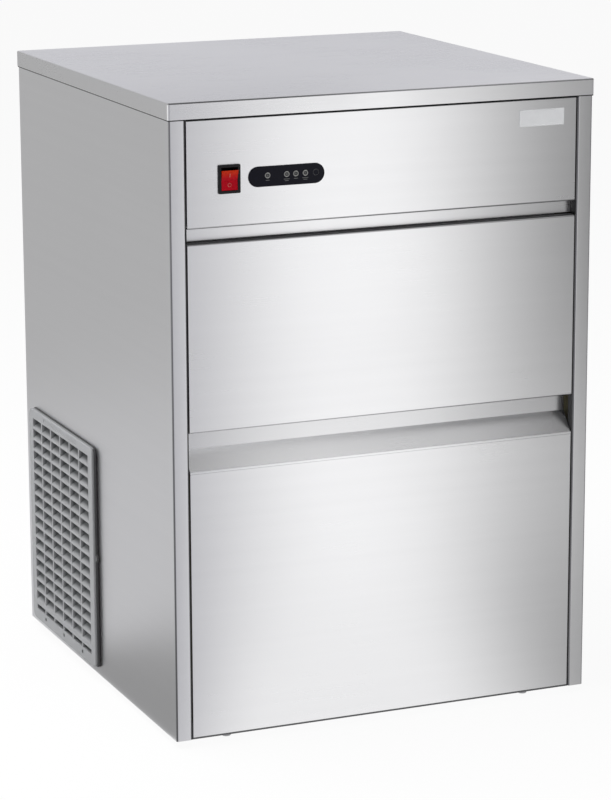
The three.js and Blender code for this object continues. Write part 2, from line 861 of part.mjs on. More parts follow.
function buildSwitch() {
  const front = frontFace - bezelProud;
  const back = frontFace + switchBodyDepth;
  const rim = softSlab(
    Y,
    roundedRectangle(
      [-bezelWidth / 2, bezelWidth / 2],
      [-bezelHeight / 2, bezelHeight / 2],
      bezelCornerRadius,
      2,
    ),
    front,
    frontFace - seatGap / 3,
    seatGap,
    1,
  );
  const body = block(
    [-bodyWidth / 2, bodyWidth / 2],
    [front + bezelProud / 2, back],
    [-bodyHeight / 2, bodyHeight / 2],
  );
  const wellHalfWidth = bezelWidth / 2 - bezelRim;
  const wellHalfHeight = bezelHeight / 2 - bezelRim;
  const well = block(
    [-wellHalfWidth, wellHalfWidth],
    [front - overrun, back - sheet],
    [-wellHalfHeight, wellHalfHeight],
  );
  const pivotY = frontFace + rockerPivotDepth;
  const pinReachX = wellHalfWidth + (bodyWidth / 2 - wellHalfWidth) / 2;
  const pinHole = rod(
    X,
    rockerPinRadius + studClearance,
    -pinReachX - seatGap,
    pinReachX + seatGap,
    [0, pivotY, 0],
  );
  const bezelGroup = groupAt(machine, switchX, 0, switchZ);
  piece(bezelGroup, "switch_bezel", blackPlastic, cut(joined([rim, body]), [well, pinHole]));

  const halfHeight = wellHalfHeight - rockerRunningGap - rockerTravel(wellHalfHeight);
  const faceAtEdge = -rockerPivotDepth - rockerProud + bezelProud / 2;
  const outline = [
    ...points([faceAtEdge, halfHeight], [faceAtEdge + rockerDish, 0], [faceAtEdge, -halfHeight]),
    ...arc(0, 0, rockerBackRadius, -60, 60, 6),
  ];
  const rockerHalf = wellHalfWidth - rockerRunningGap;
  const rocker = joined([
    extruded(X, outline, -rockerHalf, rockerHalf),
    rod(X, rockerPinRadius, -pinReachX, pinReachX, [0, 0, 0]),
  ]);
  const rockerGroup = groupAt(machine, switchX, pivotY, switchZ);
  rockerGroup.rotation.x = THREE.MathUtils.degToRad(rockerSwing / 2);
  piece(rockerGroup, "power_rocker", redPlastic, rocker);
}

// How far a rocker's corner moves up or down when it tips, which its well leaves room for.
function rockerTravel(wellHalfHeight) {
  const tip = THREE.MathUtils.degToRad(rockerSwing / 2);
  const reach = rockerPivotDepth + rockerProud;
  return wellHalfHeight * (Math.cos(tip) - 1) + reach * Math.sin(tip);
}

function buildWindow() {
  const group = groupAt(machine, windowX, 0, windowZ);
  const front = frontFace - windowProud;
  const lens = softSlab(
    Y,
    pill(windowWidth, windowHeight),
    front,
    frontFace - seatGap / 3,
    seatGap,
    1,
  );
  const boss = extruded(
    Y,
    pill(windowWidth - 2 * windowRim, windowHeight - 2 * windowRim),
    front + windowProud / 2,
    frontFace + windowBossDepth,
  );
  piece(group, "indicator_window", glossBlack, joined([lens, boss]));
  const boardFront = frontFace + windowBossDepth + seatGap;
  const board = block(
    [-windowWidth / 2 - boardMargin, windowWidth / 2 + boardMargin],
    [boardFront, boardFront + boardThickness],
    [-windowHeight / 2 - boardMargin, windowHeight / 2 + boardMargin],
  );
  piece(group, "control_board", boardGreen, board);
}

function buildBadge() {
  const group = groupAt(machine, halfWidth - badgeFromEdge, 0, skirtBottom - badgeDrop);
  const plate = softSlab(
    Y,
    roundedRectangle(
      [-badgeWidth / 2, badgeWidth / 2],
      [-badgeHeight / 2, badgeHeight / 2],
      badgeCornerRadius,
      2,
    ),
    frontFace - badgeThickness,
    frontFace - seatGap / 3,
    seatGap,
    1,
  );
  piece(group, "badge_plate", brightPlate, plate);
}

function buildElectronicsBox() {
  const front = recessDepth + electronicsBack;
  const right = halfWidth - electronicsFromSide;
  const left = right - electronicsWidth;
  const bottom = shelfTop + seatGap;
  const outer = block(
    [left, right],
    [front, front + electronicsDepth],
    [bottom, bottom + electronicsHeight],
  );
  const hollow = block(
    [left + electronicsWall, right - electronicsWall],
    [front + electronicsWall, front + electronicsDepth - electronicsWall],
    [bottom - overrun, bottom + electronicsHeight - electronicsWall],
  );
  piece(machine, "electronics_box", greyPlastic, outer.subtract(hollow));
}

// Bin door, drawn from its hinge

function buildDoor() {
  const door = groupAt(machine, 0, hingeY, hingeZ);
  const front = frontFace - hingeY;
  const top = doorTop - hingeZ;
  const bottom = doorBottom - hingeZ;
  const back = front + doorFold;
  const outline = [
    ...arc(front + doorEdgeRadius, top - doorEdgeRadius, doorEdgeRadius, 180, 90, 3),
    ...points([back, top], [back, bottom]),
    ...arc(front + doorEdgeRadius, bottom + doorEdgeRadius, doorEdgeRadius, 270, 180, 3),
  ];
  const shell = extruded(X, outline, -panelHalf, panelHalf);
  const hollow = block(
    [-panelHalf + sheet, panelHalf - sheet],
    [front + sheet, back + overrun],
    [bottom + sheet, top - sheet],
  );
  const pinHole = rod(
    X,
    pinRadius + pinClearance,
    -panelHalf - overrun,
    panelHalf + overrun,
    [0, 0, 0],
  );
  piece(door, "bin_door_skin", brushedSteel, cut(shell, [hollow, pinHole]));

  const innerFront = front + sheet + seatGap;
  const innerBack = doorBack - hingeY;
  const innerTop = doorInnerTop - hingeZ;
  const innerBottom = doorInnerBottom - hingeZ;
  const inner = block([-doorInnerHalf, doorInnerHalf], [innerFront, innerBack], [innerBottom, innerTop]);
  const dishMargin = sealSideInset + 2 * sealWidth;
  const dish = extruded(
    Y,
    roundedRectangle(
      [-doorInnerHalf + dishMargin, doorInnerHalf - dishMargin],
      [innerBottom + dishMargin, innerTop - dishMargin],
      mouthCornerRadius,
      3,
    ),
    innerBack - doorStiffenerDepth,
    innerBack + overrun,
  );
  piece(door, "bin_door_inner", whitePlastic, inner.subtract(dish));
}

function buildHingePins() {
  for (const side of [-1, 1]) {
    const inner = flangeInside + sheet + seatGap;
    const outer = wallInside - seatGap;
    const pin = rod(X, pinRadius, panelHalf - pinReach, inner + seatGap, [0, hingeY, hingeZ]);
    const carrier = block(
      [inner, outer],
      [hingeY - hingeBlockDepth / 2, hingeY + hingeBlockDepth / 2],
      [hingeZ - hingeBlockHeight / 2, hingeZ + hingeBlockHeight / 2],
    );
    const whole = joined([carrier, pin]);
    const name = side < 0 ? "hinge_pin_left" : "hinge_pin_right";
    piece(machine, name, pinSteel, side < 0 ? whole.mirror([1, 0, 0]) : whole);
  }
}

// Ice bin

function buildLiner() {
  const steps = 4;
  const outer = extruded(
    Z,
    roundedRectangle([-linerHalf, linerHalf], [linerFront, linerBack], linerCornerRadius, steps),
    linerBottom,
    linerTop,
  );
  const inner = extruded(
    Z,
    roundedRectangle(
      [-linerHalf + linerWall, linerHalf - linerWall],
      [linerFront + linerWall, linerBack - linerWall],
      linerCornerRadius - linerWall,
      steps,
    ),
    linerBottom + linerWall,
    linerTop - linerWall,
  );
  const mouth = extruded(
    Y,
    roundedRectangle(
      [-sealHalf + sealWidth, sealHalf - sealWidth],
      [sealBottom + sealWidth, sealTop - sealWidth],
      mouthCornerRadius,
      3,
    ),
    linerFront - overrun,
    linerFront + linerWall + overrun,
  );
  const chuteMouth = block(
    [-chuteMouthHalf, chuteMouthHalf],
    [linerBack - linerWall - overrun, linerBack + overrun],
    [deckTop + chuteMouthDrop, deckTop + chuteMouthDrop + chuteMouthHeight],
  );
  piece(machine, "bin_liner", whitePlastic, cut(outer, [inner, mouth, chuteMouth]));
}

function buildInsulation() {
  const half = wallInside - seatGap;
  const frontHalf = panelHalf - seatGap;
  const foamFront = frontFace + sheet + seatGap;
  const body = block([-half, half], [linerFront, binBack], [foamBottom, linerTop]);
  const apron = block(
    [-frontHalf, frontHalf],
    [foamFront, linerFront + seatGap],
    [foamBottom, lowerPanelTop - sheet - foldRadius],
  );
  const bed = block(
    [-linerHalf - seatGap, linerHalf + seatGap],
    [linerFront - seatGap, linerBack + seatGap],
    [linerBottom - seatGap, linerTop + overrun],
  );
  const chuteMouth = block(
    [-chuteMouthHalf, chuteMouthHalf],
    [linerBack - overrun, binBack + overrun],
    [deckTop + chuteMouthDrop, linerTop + overrun],
  );
  piece(machine, "bin_insulation", foam, cut(joined([body, apron]), [bed, chuteMouth]));
}

function buildSeal() {
  const corner = mouthCornerRadius;
  const outer = roundedRectangle([-sealHalf, sealHalf], [sealBottom, sealTop], corner + sealWidth, 3);
  const inner = roundedRectangle(
    [-sealHalf + sealWidth, sealHalf - sealWidth],
    [sealBottom + sealWidth, sealTop - sealWidth],
    corner,
    3,
  );
  const from = doorBack + seatGap;
  const to = linerFront - seatGap;
  const ring = extruded(Y, outer, from, to).subtract(extruded(Y, inner, from - overrun, to + overrun));
  piece(machine, "bin_door_seal", rubber, ring);
}

function buildLevelSensor() {
  const wall = linerHalf - linerWall;
  const x = wall - sensorStandOff - sensorRadius;
  const z = sealBottom - sensorDrop;
  const middleY = (linerFront + linerBack) / 2;
  const bulb = rod(Y, sensorRadius, middleY - sensorLength / 2, middleY + sensorLength / 2, [x, 0, z]);
  const clip = block(
    [x, wall - seatGap],
    [middleY - sensorClipWidth / 2, middleY + sensorClipWidth / 2],
    [z - sensorClipHeight / 2, z + sensorClipHeight / 2],
  );
  piece(machine, "ice_level_sensor", nickel, joined([bulb, clip]));
}

// Side grille

function buildGrille() {
  const outerX = -halfWidth - grilleProud;
  const seatX = -halfWidth - seatGap / 3;
  const innerX = -halfWidth + grilleBehind;
  const edgeSteps = 2;
  const cornerSteps = 5;
  const outline = roundedRectangle(
    [grilleFront, grilleRear],
    [grilleBottom, grilleTop],
    grilleCornerRadius,
    cornerSteps,
  );
  const frame = softSlab(X, outline, outerX, seatX + overrun, grilleEdgeRadius, edgeSteps);
  const behindFrame = block(
    [seatX, seatX + 2 * overrun],
    [grilleFront - overrun, grilleRear + overrun],
    [grilleBottom - overrun, grilleTop + overrun],
  );
  const boss = block(
    [seatX - sheet, innerX],
    [cutOutFront + seatGap, cutOutRear - seatGap],
    [cutOutBottom + seatGap, cutOutTop - seatGap],
  );
  const nubs = [grilleFront, grilleRear].map((y) => {
    const outwards = y === grilleFront ? -1 : 1;
    const centre = y + outwards * (grilleNubReach - grilleNubRadius);
    return rod(X, grilleNubRadius, seatX - grilleNubThickness, seatX, [
      0,
      centre,
      (grilleBottom + grilleTop) / 2 + grilleNubAboveMiddle,
    ]);
  });
  const plate = joined([frame.subtract(behindFrame), boss, ...nubs]);

  const pitchZ = (louvreTop - louvreBottom) / louvreRows;
  const pitchY = (louvreRear - louvreFront) / louvreColumns;
  const depth = innerX - outerX;
  const past = overrun / depth; // share of the blade's slope that the cut runs on for
  const tools = [];
  for (let column = 0; column < louvreColumns; column++) {
    const y0 = louvreFront + column * pitchY + louvreRib / 2;
    const y1 = y0 + pitchY - louvreRib;
    for (let row = 0; row < louvreRows; row++) {
      const z0 = louvreBottom + row * pitchZ + louvreBlade / 2;
      const z1 = z0 + pitchZ - louvreBlade;
      const outline = points(
        [outerX - overrun, z0 - past * louvreRise],
        [innerX + overrun, z0 + (1 + past) * louvreRise],
        [innerX + overrun, z1 + (1 + past) * louvreRise],
        [outerX - overrun, z1 - past * louvreRise],
      );
      tools.push(extruded(Y, outline, y0, y1));
    }
    tools.push(
      block(
        [outerX - overrun, innerX + overrun],
        [y0, y1],
        [lowSlotTop - lowSlotHeight + louvreBlade, lowSlotTop],
      ),
    );
    if (column % 2 === 0) {
      const middle = louvreFront + (column + 1) * pitchY;
      const top = lowSlotTop - lowSlotHeight - clipHoleDrop;
      tools.push(
        block(
          [outerX - overrun, seatX - sheet],
          [middle - clipHoleWidth / 2, middle + clipHoleWidth / 2],
          [top - clipHoleHeight, top],
        ),
      );
    }
  }
  const middleY = (louvreFront + louvreRear) / 2;
  tools.push(
    block(
      [outerX - overrun, outerX + grilleRecessDepth],
      [middleY - grilleRecessWidth / 2, middleY + grilleRecessWidth / 2],
      [grilleTop - grilleRecessDrop - grilleRecessHeight, grilleTop - grilleRecessDrop],
    ),
  );
  piece(machine, "side_grille", greyPlastic, cut(plate, tools));

  const filter = block(
    [innerX + seatGap, innerX + seatGap + filterThickness],
    [cutOutFront + filterInset, cutOutRear - filterInset],
    [cutOutBottom + filterInset, cutOutTop - filterInset],
  );
  piece(machine, "air_filter", filterGrey, filter);
}

// Condenser and fan

const filterInnerX = -halfWidth + grilleBehind + seatGap + filterThickness;
const condenserOuterX = filterInnerX + condenserStandOff;
const condenserInnerX = condenserOuterX + condenserThickness;
const tubeX = (condenserOuterX + condenserInnerX) / 2;
const tubePitch = (condenserHeight - 2 * tubeEndMargin) / (tubeRuns - 1);
const tubeBend = tubePitch / 2;
const condenserFront = binBack + bendRoom + tubeRadius + tubeBend + tubeReach;
const condenserRear = cabinetDepth - condenserRearRoom;
const condenserMiddleY = (condenserFront + condenserRear) / 2;
const condenserMiddleZ = (condenserBottom + condenserTop) / 2;
const tubeTopZ = condenserTop - tubeEndMargin;
const tubeBottomZ = condenserBottom + tubeEndMargin;
const tubeEndY = condenserRear + 2 * tubeReach;

function buildCondenser() {
  const core = block(
    [condenserOuterX, condenserInnerX],
    [condenserFront, condenserRear],
    [condenserBottom, condenserTop],
  );
  const plates = [condenserFront, condenserRear - condenserPlate].map((y) =>
    block(
      [condenserOuterX, condenserInnerX],
      [y, y + condenserPlate],
      [panFloorTop + seatGap, condenserTop],
    ),
  );
  const tools = [];
  for (let run = 0; run < tubeRuns; run++) {
    tools.push(
      rod(
        Y,
        tubeRadius + tubeClearance,
        condenserFront - overrun,
        condenserRear + overrun,
        [tubeX, 0, tubeBottomZ + run * tubePitch],
        8,
      ),
    );
  }
  const span = condenserRear - condenserFront - 2 * condenserPlate;
  const slots = Math.floor(span / finPitch);
  const first = condenserFront + condenserPlate + (span - slots * finPitch + finPitch - finSlot) / 2;
  for (let slot = 0; slot < slots; slot++) {
    const y = first + slot * finPitch;
    const across = [condenserBottom - overrun, condenserTop + overrun];
    tools.push(block([condenserOuterX - overrun, condenserOuterX + finDepth], [y, y + finSlot], across));
    tools.push(block([condenserInnerX - finDepth, condenserInnerX + overrun], [y, y + finSlot], across));
  }
  piece(machine, "condenser_core", aluminium, cut(joined([core, ...plates]), tools));

  const corners = [[tubeX, tubeEndY, tubeTopZ]];
  for (let run = 0; run < tubeRuns; run++) {
    const z = tubeTopZ - run * tubePitch;
    const atFront = run % 2 === 0;
    const end = atFront ? condenserFront - tubeReach - tubeBend : condenserRear + tubeReach + tubeBend;
    if (run < tubeRuns - 1) corners.push([tubeX, end, z], [tubeX, end, z - tubePitch]);
  }
  corners.push([tubeX, tubeEndY, tubeBottomZ]);
  piece(machine, "condenser_tube", copper, pipe(corners, tubeRadius, tubeBend - seatGap, 8, 3));
}

const shroudOuterX = condenserInnerX + seatGap;
const shroudInnerX = shroudOuterX + shroudDepth;
const shroudHalfY = (condenserRear - condenserFront) / 2;
const shroudHalfZ = condenserHeight / 2;
const fanOpening = Math.min(shroudHalfY, shroudHalfZ) - shroudRim;
const fanRadius = fanOpening - fanTipGap;
const fanX = shroudInnerX + fanBehindShroud + fanHubLength / 2;
const motorFront = fanHubLength / 2 + fanBehindShroud;
const motorBack = motorFront + motorBossLength + motorLength;
const bracketX = fanX + motorBack + seatGap + bracketThickness / 2;

function buildFan() {
  const middle = [0, condenserMiddleY, condenserMiddleZ];
  const shroudShell = block(
    [shroudOuterX, shroudInnerX],
    [condenserMiddleY - shroudHalfY, condenserMiddleY + shroudHalfY],
    [condenserMiddleZ - shroudHalfZ, condenserMiddleZ + shroudHalfZ],
  );
  const hollow = block(
    [shroudOuterX - overrun, shroudInnerX - sheet],
    [condenserMiddleY - shroudHalfY + sheet, condenserMiddleY + shroudHalfY - sheet],
    [condenserMiddleZ - shroudHalfZ + sheet, condenserMiddleZ + shroudHalfZ - sheet],
  );
  const opening = rod(X, fanOpening, shroudOuterX - overrun, shroudInnerX + overrun, middle, 28);
  piece(machine, "fan_shroud", galvanised, cut(shroudShell, [hollow, opening]));

  const fan = groupAt(machine, fanX, condenserMiddleY, condenserMiddleZ);
  const hub = rod(X, fanHubRadius, -fanHubLength / 2, fanHubLength / 2, [0, 0, 0]);
  const rootRadius = fanHubRadius * bladeRootShare;
  const blade = extruded(
    X,
    [
      ...points([-fanBladeRoot / 2, rootRadius], [fanBladeRoot / 2, rootRadius]),
      ...arc(0, 0, fanRadius, 90 - tipHalfAngle(), 90 + tipHalfAngle(), 4),
    ],
    -fanBladeThickness / 2,
    fanBladeThickness / 2,
  ).rotate([0, 0, fanBladePitch]);
  const blades = Array.from({ length: fanBlades }, (_, i) => blade.rotate([(360 * i) / fanBlades, 0, 0]));
  const bore = rod(
    X,
    shaftRadius + shaftClearance,
    -fanHubLength / 2 + fanBladeThickness,
    fanHubLength / 2 + overrun,
    [0, 0, 0],
    12,
  );
  piece(fan, "fan_blade", blackPlastic, joined([hub, ...blades]).subtract(bore));

  const motor = turnedAlong(X, [
    [0, -fanHubLength / 2 + fanBladeThickness + sheet],
    [shaftRadius, -fanHubLength / 2 + fanBladeThickness + sheet],
    [shaftRadius, motorFront],
    [motorBossRadius, motorFront],
    [motorBossRadius, motorFront + motorBossLength],
    [motorRadius, motorFront + motorBossLength],
    [motorRadius, motorBack],
    [0, motorBack],
  ]);
  piece(fan, "fan_motor", blackPaint, motor);

  const bracket = extruded(
    Y,
    foldedOutline(
      points(
        [bracketX, condenserMiddleZ + motorRadius],
        [bracketX, panFloorTop + seatGap + bracketThickness / 2],
        [bracketX + bracketFoot, panFloorTop + seatGap + bracketThickness / 2],
      ),
      bracketThickness,
      foldRadius,
    ),
    condenserMiddleY - bracketWidth / 2,
    condenserMiddleY + bracketWidth / 2,
  );
  const head = rod(
    X,
    bracketHead,
    bracketX - bracketThickness / 2 - seatGap,
    bracketX + bracketThickness / 2 + seatGap,
    middle,
  );
  piece(machine, "motor_bracket", galvanised, bracket.subtract(head));
}

function tipHalfAngle() {
  return THREE.MathUtils.radToDeg(Math.asin(fanBladeTip / 2 / fanRadius));
}

// Compressor, drawn from the middle of its mounts on the base pan

const shellRight = halfWidth - compressorRightRoom;
const shellLeft = bracketX + bracketFoot + compressorLeftRoom;
const compressorX = (shellLeft + shellRight) / 2;
const compressorY = cabinetDepth - compressorFromBack;
const shellHalfX = (shellRight - shellLeft) / 2;
const shellHalfY = compressorDepth / 2;
const compressorPlateBottom = panFloorTop + seatGap + mountHeight + seatGap;
const shellBottom = compressorPlateBottom + compressorPlate;

function shellSolid(grow) {
  const wall = shellRadiusShares.map((share, i) => [share, compressorHeight * shellHeightShares[i]]);
  const profile = [[0, -grow], ...wall, [0, compressorHeight + grow]];
  return turned(profile, 20).scale([shellHalfX + grow, shellHalfY + grow, 1]);
}

function buildCompressor() {
  const group = groupAt(machine, compressorX, compressorY, 0);
  const shell = shellSolid(0).translate([0, 0, shellBottom - seatGap]);
  const plateHalfX = shellHalfX + compressorPlateOverhang;
  const plateHalfY = shellHalfY;
  const plate = extruded(
    Z,
    roundedRectangle([-plateHalfX, plateHalfX], [-plateHalfY, plateHalfY], mountRadius, 3),
    compressorPlateBottom,
    compressorPlateBottom + compressorPlate,
  );
  const mountPlaces = [
    ["front_left", -1, -1],
    ["front_right", 1, -1],
    ["rear_left", -1, 1],
    ["rear_right", 1, 1],
  ].map(([name, sx, sy]) => [name, sx * (plateHalfX - mountInset), sy * (plateHalfY - mountInset)]);
  const holes = mountPlaces.map(([, x, y]) =>
    rod(
      Z,
      mountNeckRadius + mountClearance,
      compressorPlateBottom - overrun,
      compressorPlateBottom + compressorPlate + overrun,
      [x, y, 0],
      12,
    ),
  );
  piece(group, "compressor", blackPaint, cut(joined([shell, plate]), holes));
  for (const [name, x, y] of mountPlaces) {
    const bottom = panFloorTop + seatGap;
    const shape = turned(
      [
        [0, bottom],
        [mountRadius, bottom],
        [mountRadius, bottom + mountHeight],
        [mountNeckRadius, bottom + mountHeight],
        [mountNeckRadius, bottom + mountHeight + mountNeckHeight],
        [0, bottom + mountHeight + mountNeckHeight],
      ],
      12,
    ).translate([x, y, 0]);
    piece(group, "compressor_mount_" + name, rubber, shape);
  }
  const coverMiddle = shellBottom + compressorHeight * terminalHeightShare;
  const cover = block(
    [-shellHalfX - terminalDepth / 2, -shellHalfX + terminalDepth / 2],
    [-terminalWidth / 2, terminalWidth / 2],
    [coverMiddle - terminalHeight / 2, coverMiddle + terminalHeight / 2],
  ).subtract(shellSolid(seatGap).translate([0, 0, shellBottom - seatGap]));
  piece(group, "terminal_cover", blackPlastic, cover);
}

// Where a pipe that runs along y meets the compressor's shell at a given x.
function shellBackAt(x) {
  const share = (x - compressorX) / shellHalfX;
  return compressorY + shellHalfY * Math.sqrt(1 - share * share) + seatGap;
}

const coilZ = moduleTop + seatGap + evaporatorPlate + coilRadius - coilSink;
const drierX = -moduleHalf + 2 * drierRadius;
const drierY = moduleRear + suctionRadius + drierRadius - bendRoom;
const dischargeY = backInside - 2 * tubeRadius - bendRoom;
const suctionX = moduleHalf + modulePlate + bendRoom + suctionRadius;
const suctionY = dischargeY - bendRoom / 2;

function buildPipes() {
  const dischargeX = compressorX - shellHalfX * dischargePlaceShare;
  const discharge = [
    [dischargeX, shellBackAt(dischargeX), pipeLevel],
    [dischargeX, dischargeY, pipeLevel],
    [dischargeX, dischargeY, tubeTopZ],
    [tubeX, dischargeY, tubeTopZ],
    [tubeX, tubeEndY + seatGap, tubeTopZ],
  ];
  piece(machine, "discharge_pipe", copper, pipe(discharge, tubeRadius, tubeRadius * 2));

  const drierBottom = tubeBottomZ + pipeBend + drierNeck;
  const liquid = [
    [tubeX, tubeEndY + seatGap, tubeBottomZ],
    [tubeX, dischargeY, tubeBottomZ],
    [drierX, dischargeY, tubeBottomZ],
    [drierX, drierY, tubeBottomZ],
    [drierX, drierY, drierBottom + drierNeck / 2],
  ];
  const liquidPipe = solid(pipe(liquid, tubeRadius - seatGap, tubeRadius * 1.2));
  const drier = turned([
    [0, 0],
    [tubeRadius, 0],
    [tubeRadius, drierNeck],
    [drierRadius, drierNeck * 2],
    [drierRadius, drierLength - drierNeck * 2],
    [capillaryRadius * 2, drierLength - drierNeck],
    [capillaryRadius * 2, drierLength],
    [0, drierLength],
  ]).translate([drierX, drierY, drierBottom]);
  piece(machine, "filter_drier", copper, joined([drier, liquidPipe]));

  const coilStartX = -coilRunEnd - coilReach;
  const capillary = [
    [drierX, drierY, drierBottom + drierLength + seatGap],
    [drierX, drierY, coilZ],
    [drierX, coilBackY, coilZ],
    [coilStartX - seatGap, coilBackY, coilZ],
  ];
  piece(machine, "capillary_tube", copper, pipe(capillary, capillaryRadius, capillaryRadius * 4, 6));

  const suctionInX = compressorX + shellHalfX * suctionPlaceShare;
  const suction = [
    [coilRunEnd + coilReach + seatGap, coilFrontY, coilZ],
    [suctionX, coilFrontY, coilZ],
    [suctionX, suctionY, coilZ],
    [suctionX, suctionY, pipeLevel],
    [suctionInX, suctionY, pipeLevel],
    [suctionInX, shellBackAt(suctionInX), pipeLevel],
  ];
  piece(machine, "suction_pipe", copper, pipe(suction, suctionRadius, pipeBend));
}

// Ice-making module

const trayHalf = moduleHalf - traySideRoom;
const trayPivotY = moduleRear - trayPivotRearRoom;
const trayPivotZ = moduleTop - trayPivotDrop;
const trayBack = trayPivotY - trayPivotBack;
const trayFront = trayBack - trayLength;
const fingerFrontY = trayFront + evaporatorFrontRoom;
const fingerBackY = fingerFrontY + (fingerRows - 1) * fingerPitch;
const fingerColumns = 1 + Math.round((2 * (trayHalf - fingerSideRoom)) / fingerPitch);
const fingerHalfSpan = ((fingerColumns - 1) * fingerPitch) / 2;
const coilFrontY = fingerFrontY;
const coilBackY = fingerBackY;
const coilRunEnd = fingerHalfSpan + fingerPitch / 2;

function buildModuleFrame() {
  const middle = modulePlate / 2;
  const plate = extruded(
    Y,
    foldedOutline(
      points(
        [moduleHalf + middle, deckTop + seatGap],
        [moduleHalf + middle, moduleTop - middle],
        [moduleHalf - moduleFlange, moduleTop - middle],
      ),
      modulePlate,
      foldRadius,
    ),
    moduleFront,
    moduleRear,
  );
  const pivotHole = rod(X, stubRadius + stubClearance, moduleHalf - overrun, moduleHalf + overrun, [
    0,
    trayPivotY,
    trayPivotZ,
  ]);
  const right = plate.subtract(pivotHole);
  piece(machine, "module_plate_right", galvanised, right);
  piece(machine, "module_plate_left", galvanised, right.mirror([1, 0, 0]));

  const half = wallInside - seatGap;
  const deckMiddle = sheet / 2;
  const deck = folded(
    Y,
    [
      [-half + deckMiddle, deckTop - deckFold],
      [-half + deckMiddle, deckTop - deckMiddle],
      [half - deckMiddle, deckTop - deckMiddle],
      [half - deckMiddle, deckTop - deckFold],
    ],
    binBack + seatGap,
    moduleRear,
  );
  const spoutHole = rod(
    Z,
    drainRadius + seatGap,
    deckTop - 2 * overrun,
    deckTop + overrun,
    [0, moduleRear - drainFromRear, 0],
  );
  piece(machine, "machine_deck", galvanised, deck.subtract(spoutHole));
}

function buildTrough() {
  const half = moduleHalf - troughSideGap;
  const bottom = deckTop + seatGap;
  const spout = [0, moduleRear - drainFromRear, 0];
  const basin = block([-half, half], [moduleFront, moduleRear - sheet], [bottom, bottom + troughHeight]);
  const hollow = block(
    [-half + troughWall, half - troughWall],
    [moduleFront + troughWall, moduleRear - sheet - troughWall],
    [bottom + troughWall, bottom + troughHeight + overrun],
  );
  const pipeOut = rod(Z, drainRadius, bottom - drainDrop, bottom + troughWall, spout);
  const bore = rod(Z, drainRadius - drainWall, bottom - drainDrop - overrun, bottom + overrun, spout);
  piece(machine, "drain_trough", whitePlastic, cut(joined([basin.subtract(hollow), pipeOut]), [bore]));
}

function buildDrain() {
  const hoseRadius = drainRadius + hoseWall;
  const y = moduleRear - drainFromRear;
  const spigotStart = backInside - spigotInside;
  const top = deckTop + seatGap - drainDrop - hoseClearance;
  const hose = [
    [0, y, top],
    [0, y, drainOutletHeight],
    [0, spigotStart - hoseClearance, drainOutletHeight],
  ];
  piece(machine, "drain_hose", greyPlastic, pipe(hose, hoseRadius, hoseBend, 12, 5));
  const profile = [
    [drainRadius, 0],
    [drainRadius, spigotInside + sheet + seatGap],
    [spigotFlangeRadius, spigotInside + sheet + seatGap],
    [spigotFlangeRadius, spigotInside + sheet + seatGap + spigotFlange],
    [drainRadius, spigotInside + sheet + seatGap + spigotFlange],
    [drainRadius - drainWall / 2, spigotInside + sheet + spigotFlange + spigotOutside],
    [drainRadius - drainWall, spigotInside + sheet + spigotFlange + spigotOutside],
    [drainRadius - drainWall, 0],
    [drainRadius, 0],
  ];
  const spigot = turnedAlong(Y, profile);
  piece(groupAt(machine, 0, spigotStart, drainOutletHeight), "drain_spigot", whitePlastic, spigot);
}

function buildChute() {
  const lowY = linerBack - linerWall - chuteRun;
  const highY = moduleRear - trayPivotRearRoom;
  const lowZ = deckTop + chuteLowRise;
  const highZ = deckTop + chuteHighRise;
  const half = moduleHalf - seatGap;
  const slope = (highZ - lowZ) / (highY - lowY);
  const rise = (y) => lowZ + (y - lowY) * slope;
  const outline = (from, to, up, down) =>
    points([from, rise(from) - down], [to, rise(to) - down], [to, rise(to) + up], [from, rise(from) + up]);
  const plate = extruded(X, outline(lowY, highY, 0, chuteThickness), -half, half);
  const sides = [-1, 1].map((side) => {
    const inner = side * (half - chuteThickness);
    const outer = side * half;
    return extruded(
      X,
      outline(lowY, highY, chuteSide, chuteThickness),
      Math.min(inner, outer),
      Math.max(inner, outer),
    );
  });
  const slotPitch = (2 * (half - chuteSlotMargin)) / (chuteSlots - 1);
  const slotTools = Array.from({ length: chuteSlots }, (_, i) => {
    const x = -half + chuteSlotMargin + i * slotPitch;
    return extruded(
      X,
      outline(moduleFront + chuteSlotMargin, highY - chuteSlotMargin, overrun, overrun),
      x - chuteSlotWidth / 2,
      x + chuteSlotWidth / 2,
    );
  });
  piece(machine, "ice_chute", whitePlastic, cut(joined([plate, ...sides]), slotTools));
}

function buildEvaporator() {
  const bottom = moduleTop + seatGap;
  const plate = block(
    [-moduleHalf, moduleHalf],
    [fingerFrontY - evaporatorMargin, fingerBackY + evaporatorMargin],
    [bottom, bottom + evaporatorPlate],
  );
  const finger = turned(
    [
      [0, -fingerLength],
      [fingerRadius * fingerTipShares[0], -fingerLength + fingerRadius * fingerTipShares[1]],
      [fingerRadius, -fingerLength + fingerRadius],
      [fingerRadius, evaporatorPlate / 2],
      [0, evaporatorPlate / 2],
    ],
    8,
  );
  const fingers = [];
  for (let row = 0; row < fingerRows; row++) {
    for (let column = 0; column < fingerColumns; column++) {
      const x = -fingerHalfSpan + column * fingerPitch;
      fingers.push(finger.translate([x, fingerFrontY + row * fingerPitch, bottom]));
    }
  }
  const corners = [[-coilRunEnd - coilReach, coilBackY, coilZ]];
  for (let row = 0; row < fingerRows - 1; row++) {
    const y = fingerBackY - row * fingerPitch;
    const x = row % 2 === 0 ? coilRunEnd : -coilRunEnd;
    corners.push([x, y, coilZ], [x, y - fingerPitch, coilZ]);
  }
  corners.push([coilRunEnd + coilReach, coilFrontY, coilZ]);
  const coil = solid(pipe(corners, coilRadius, fingerPitch / 2 - seatGap));
  piece(machine, "evaporator", nickel, joined([plate, ...fingers, coil]));
}

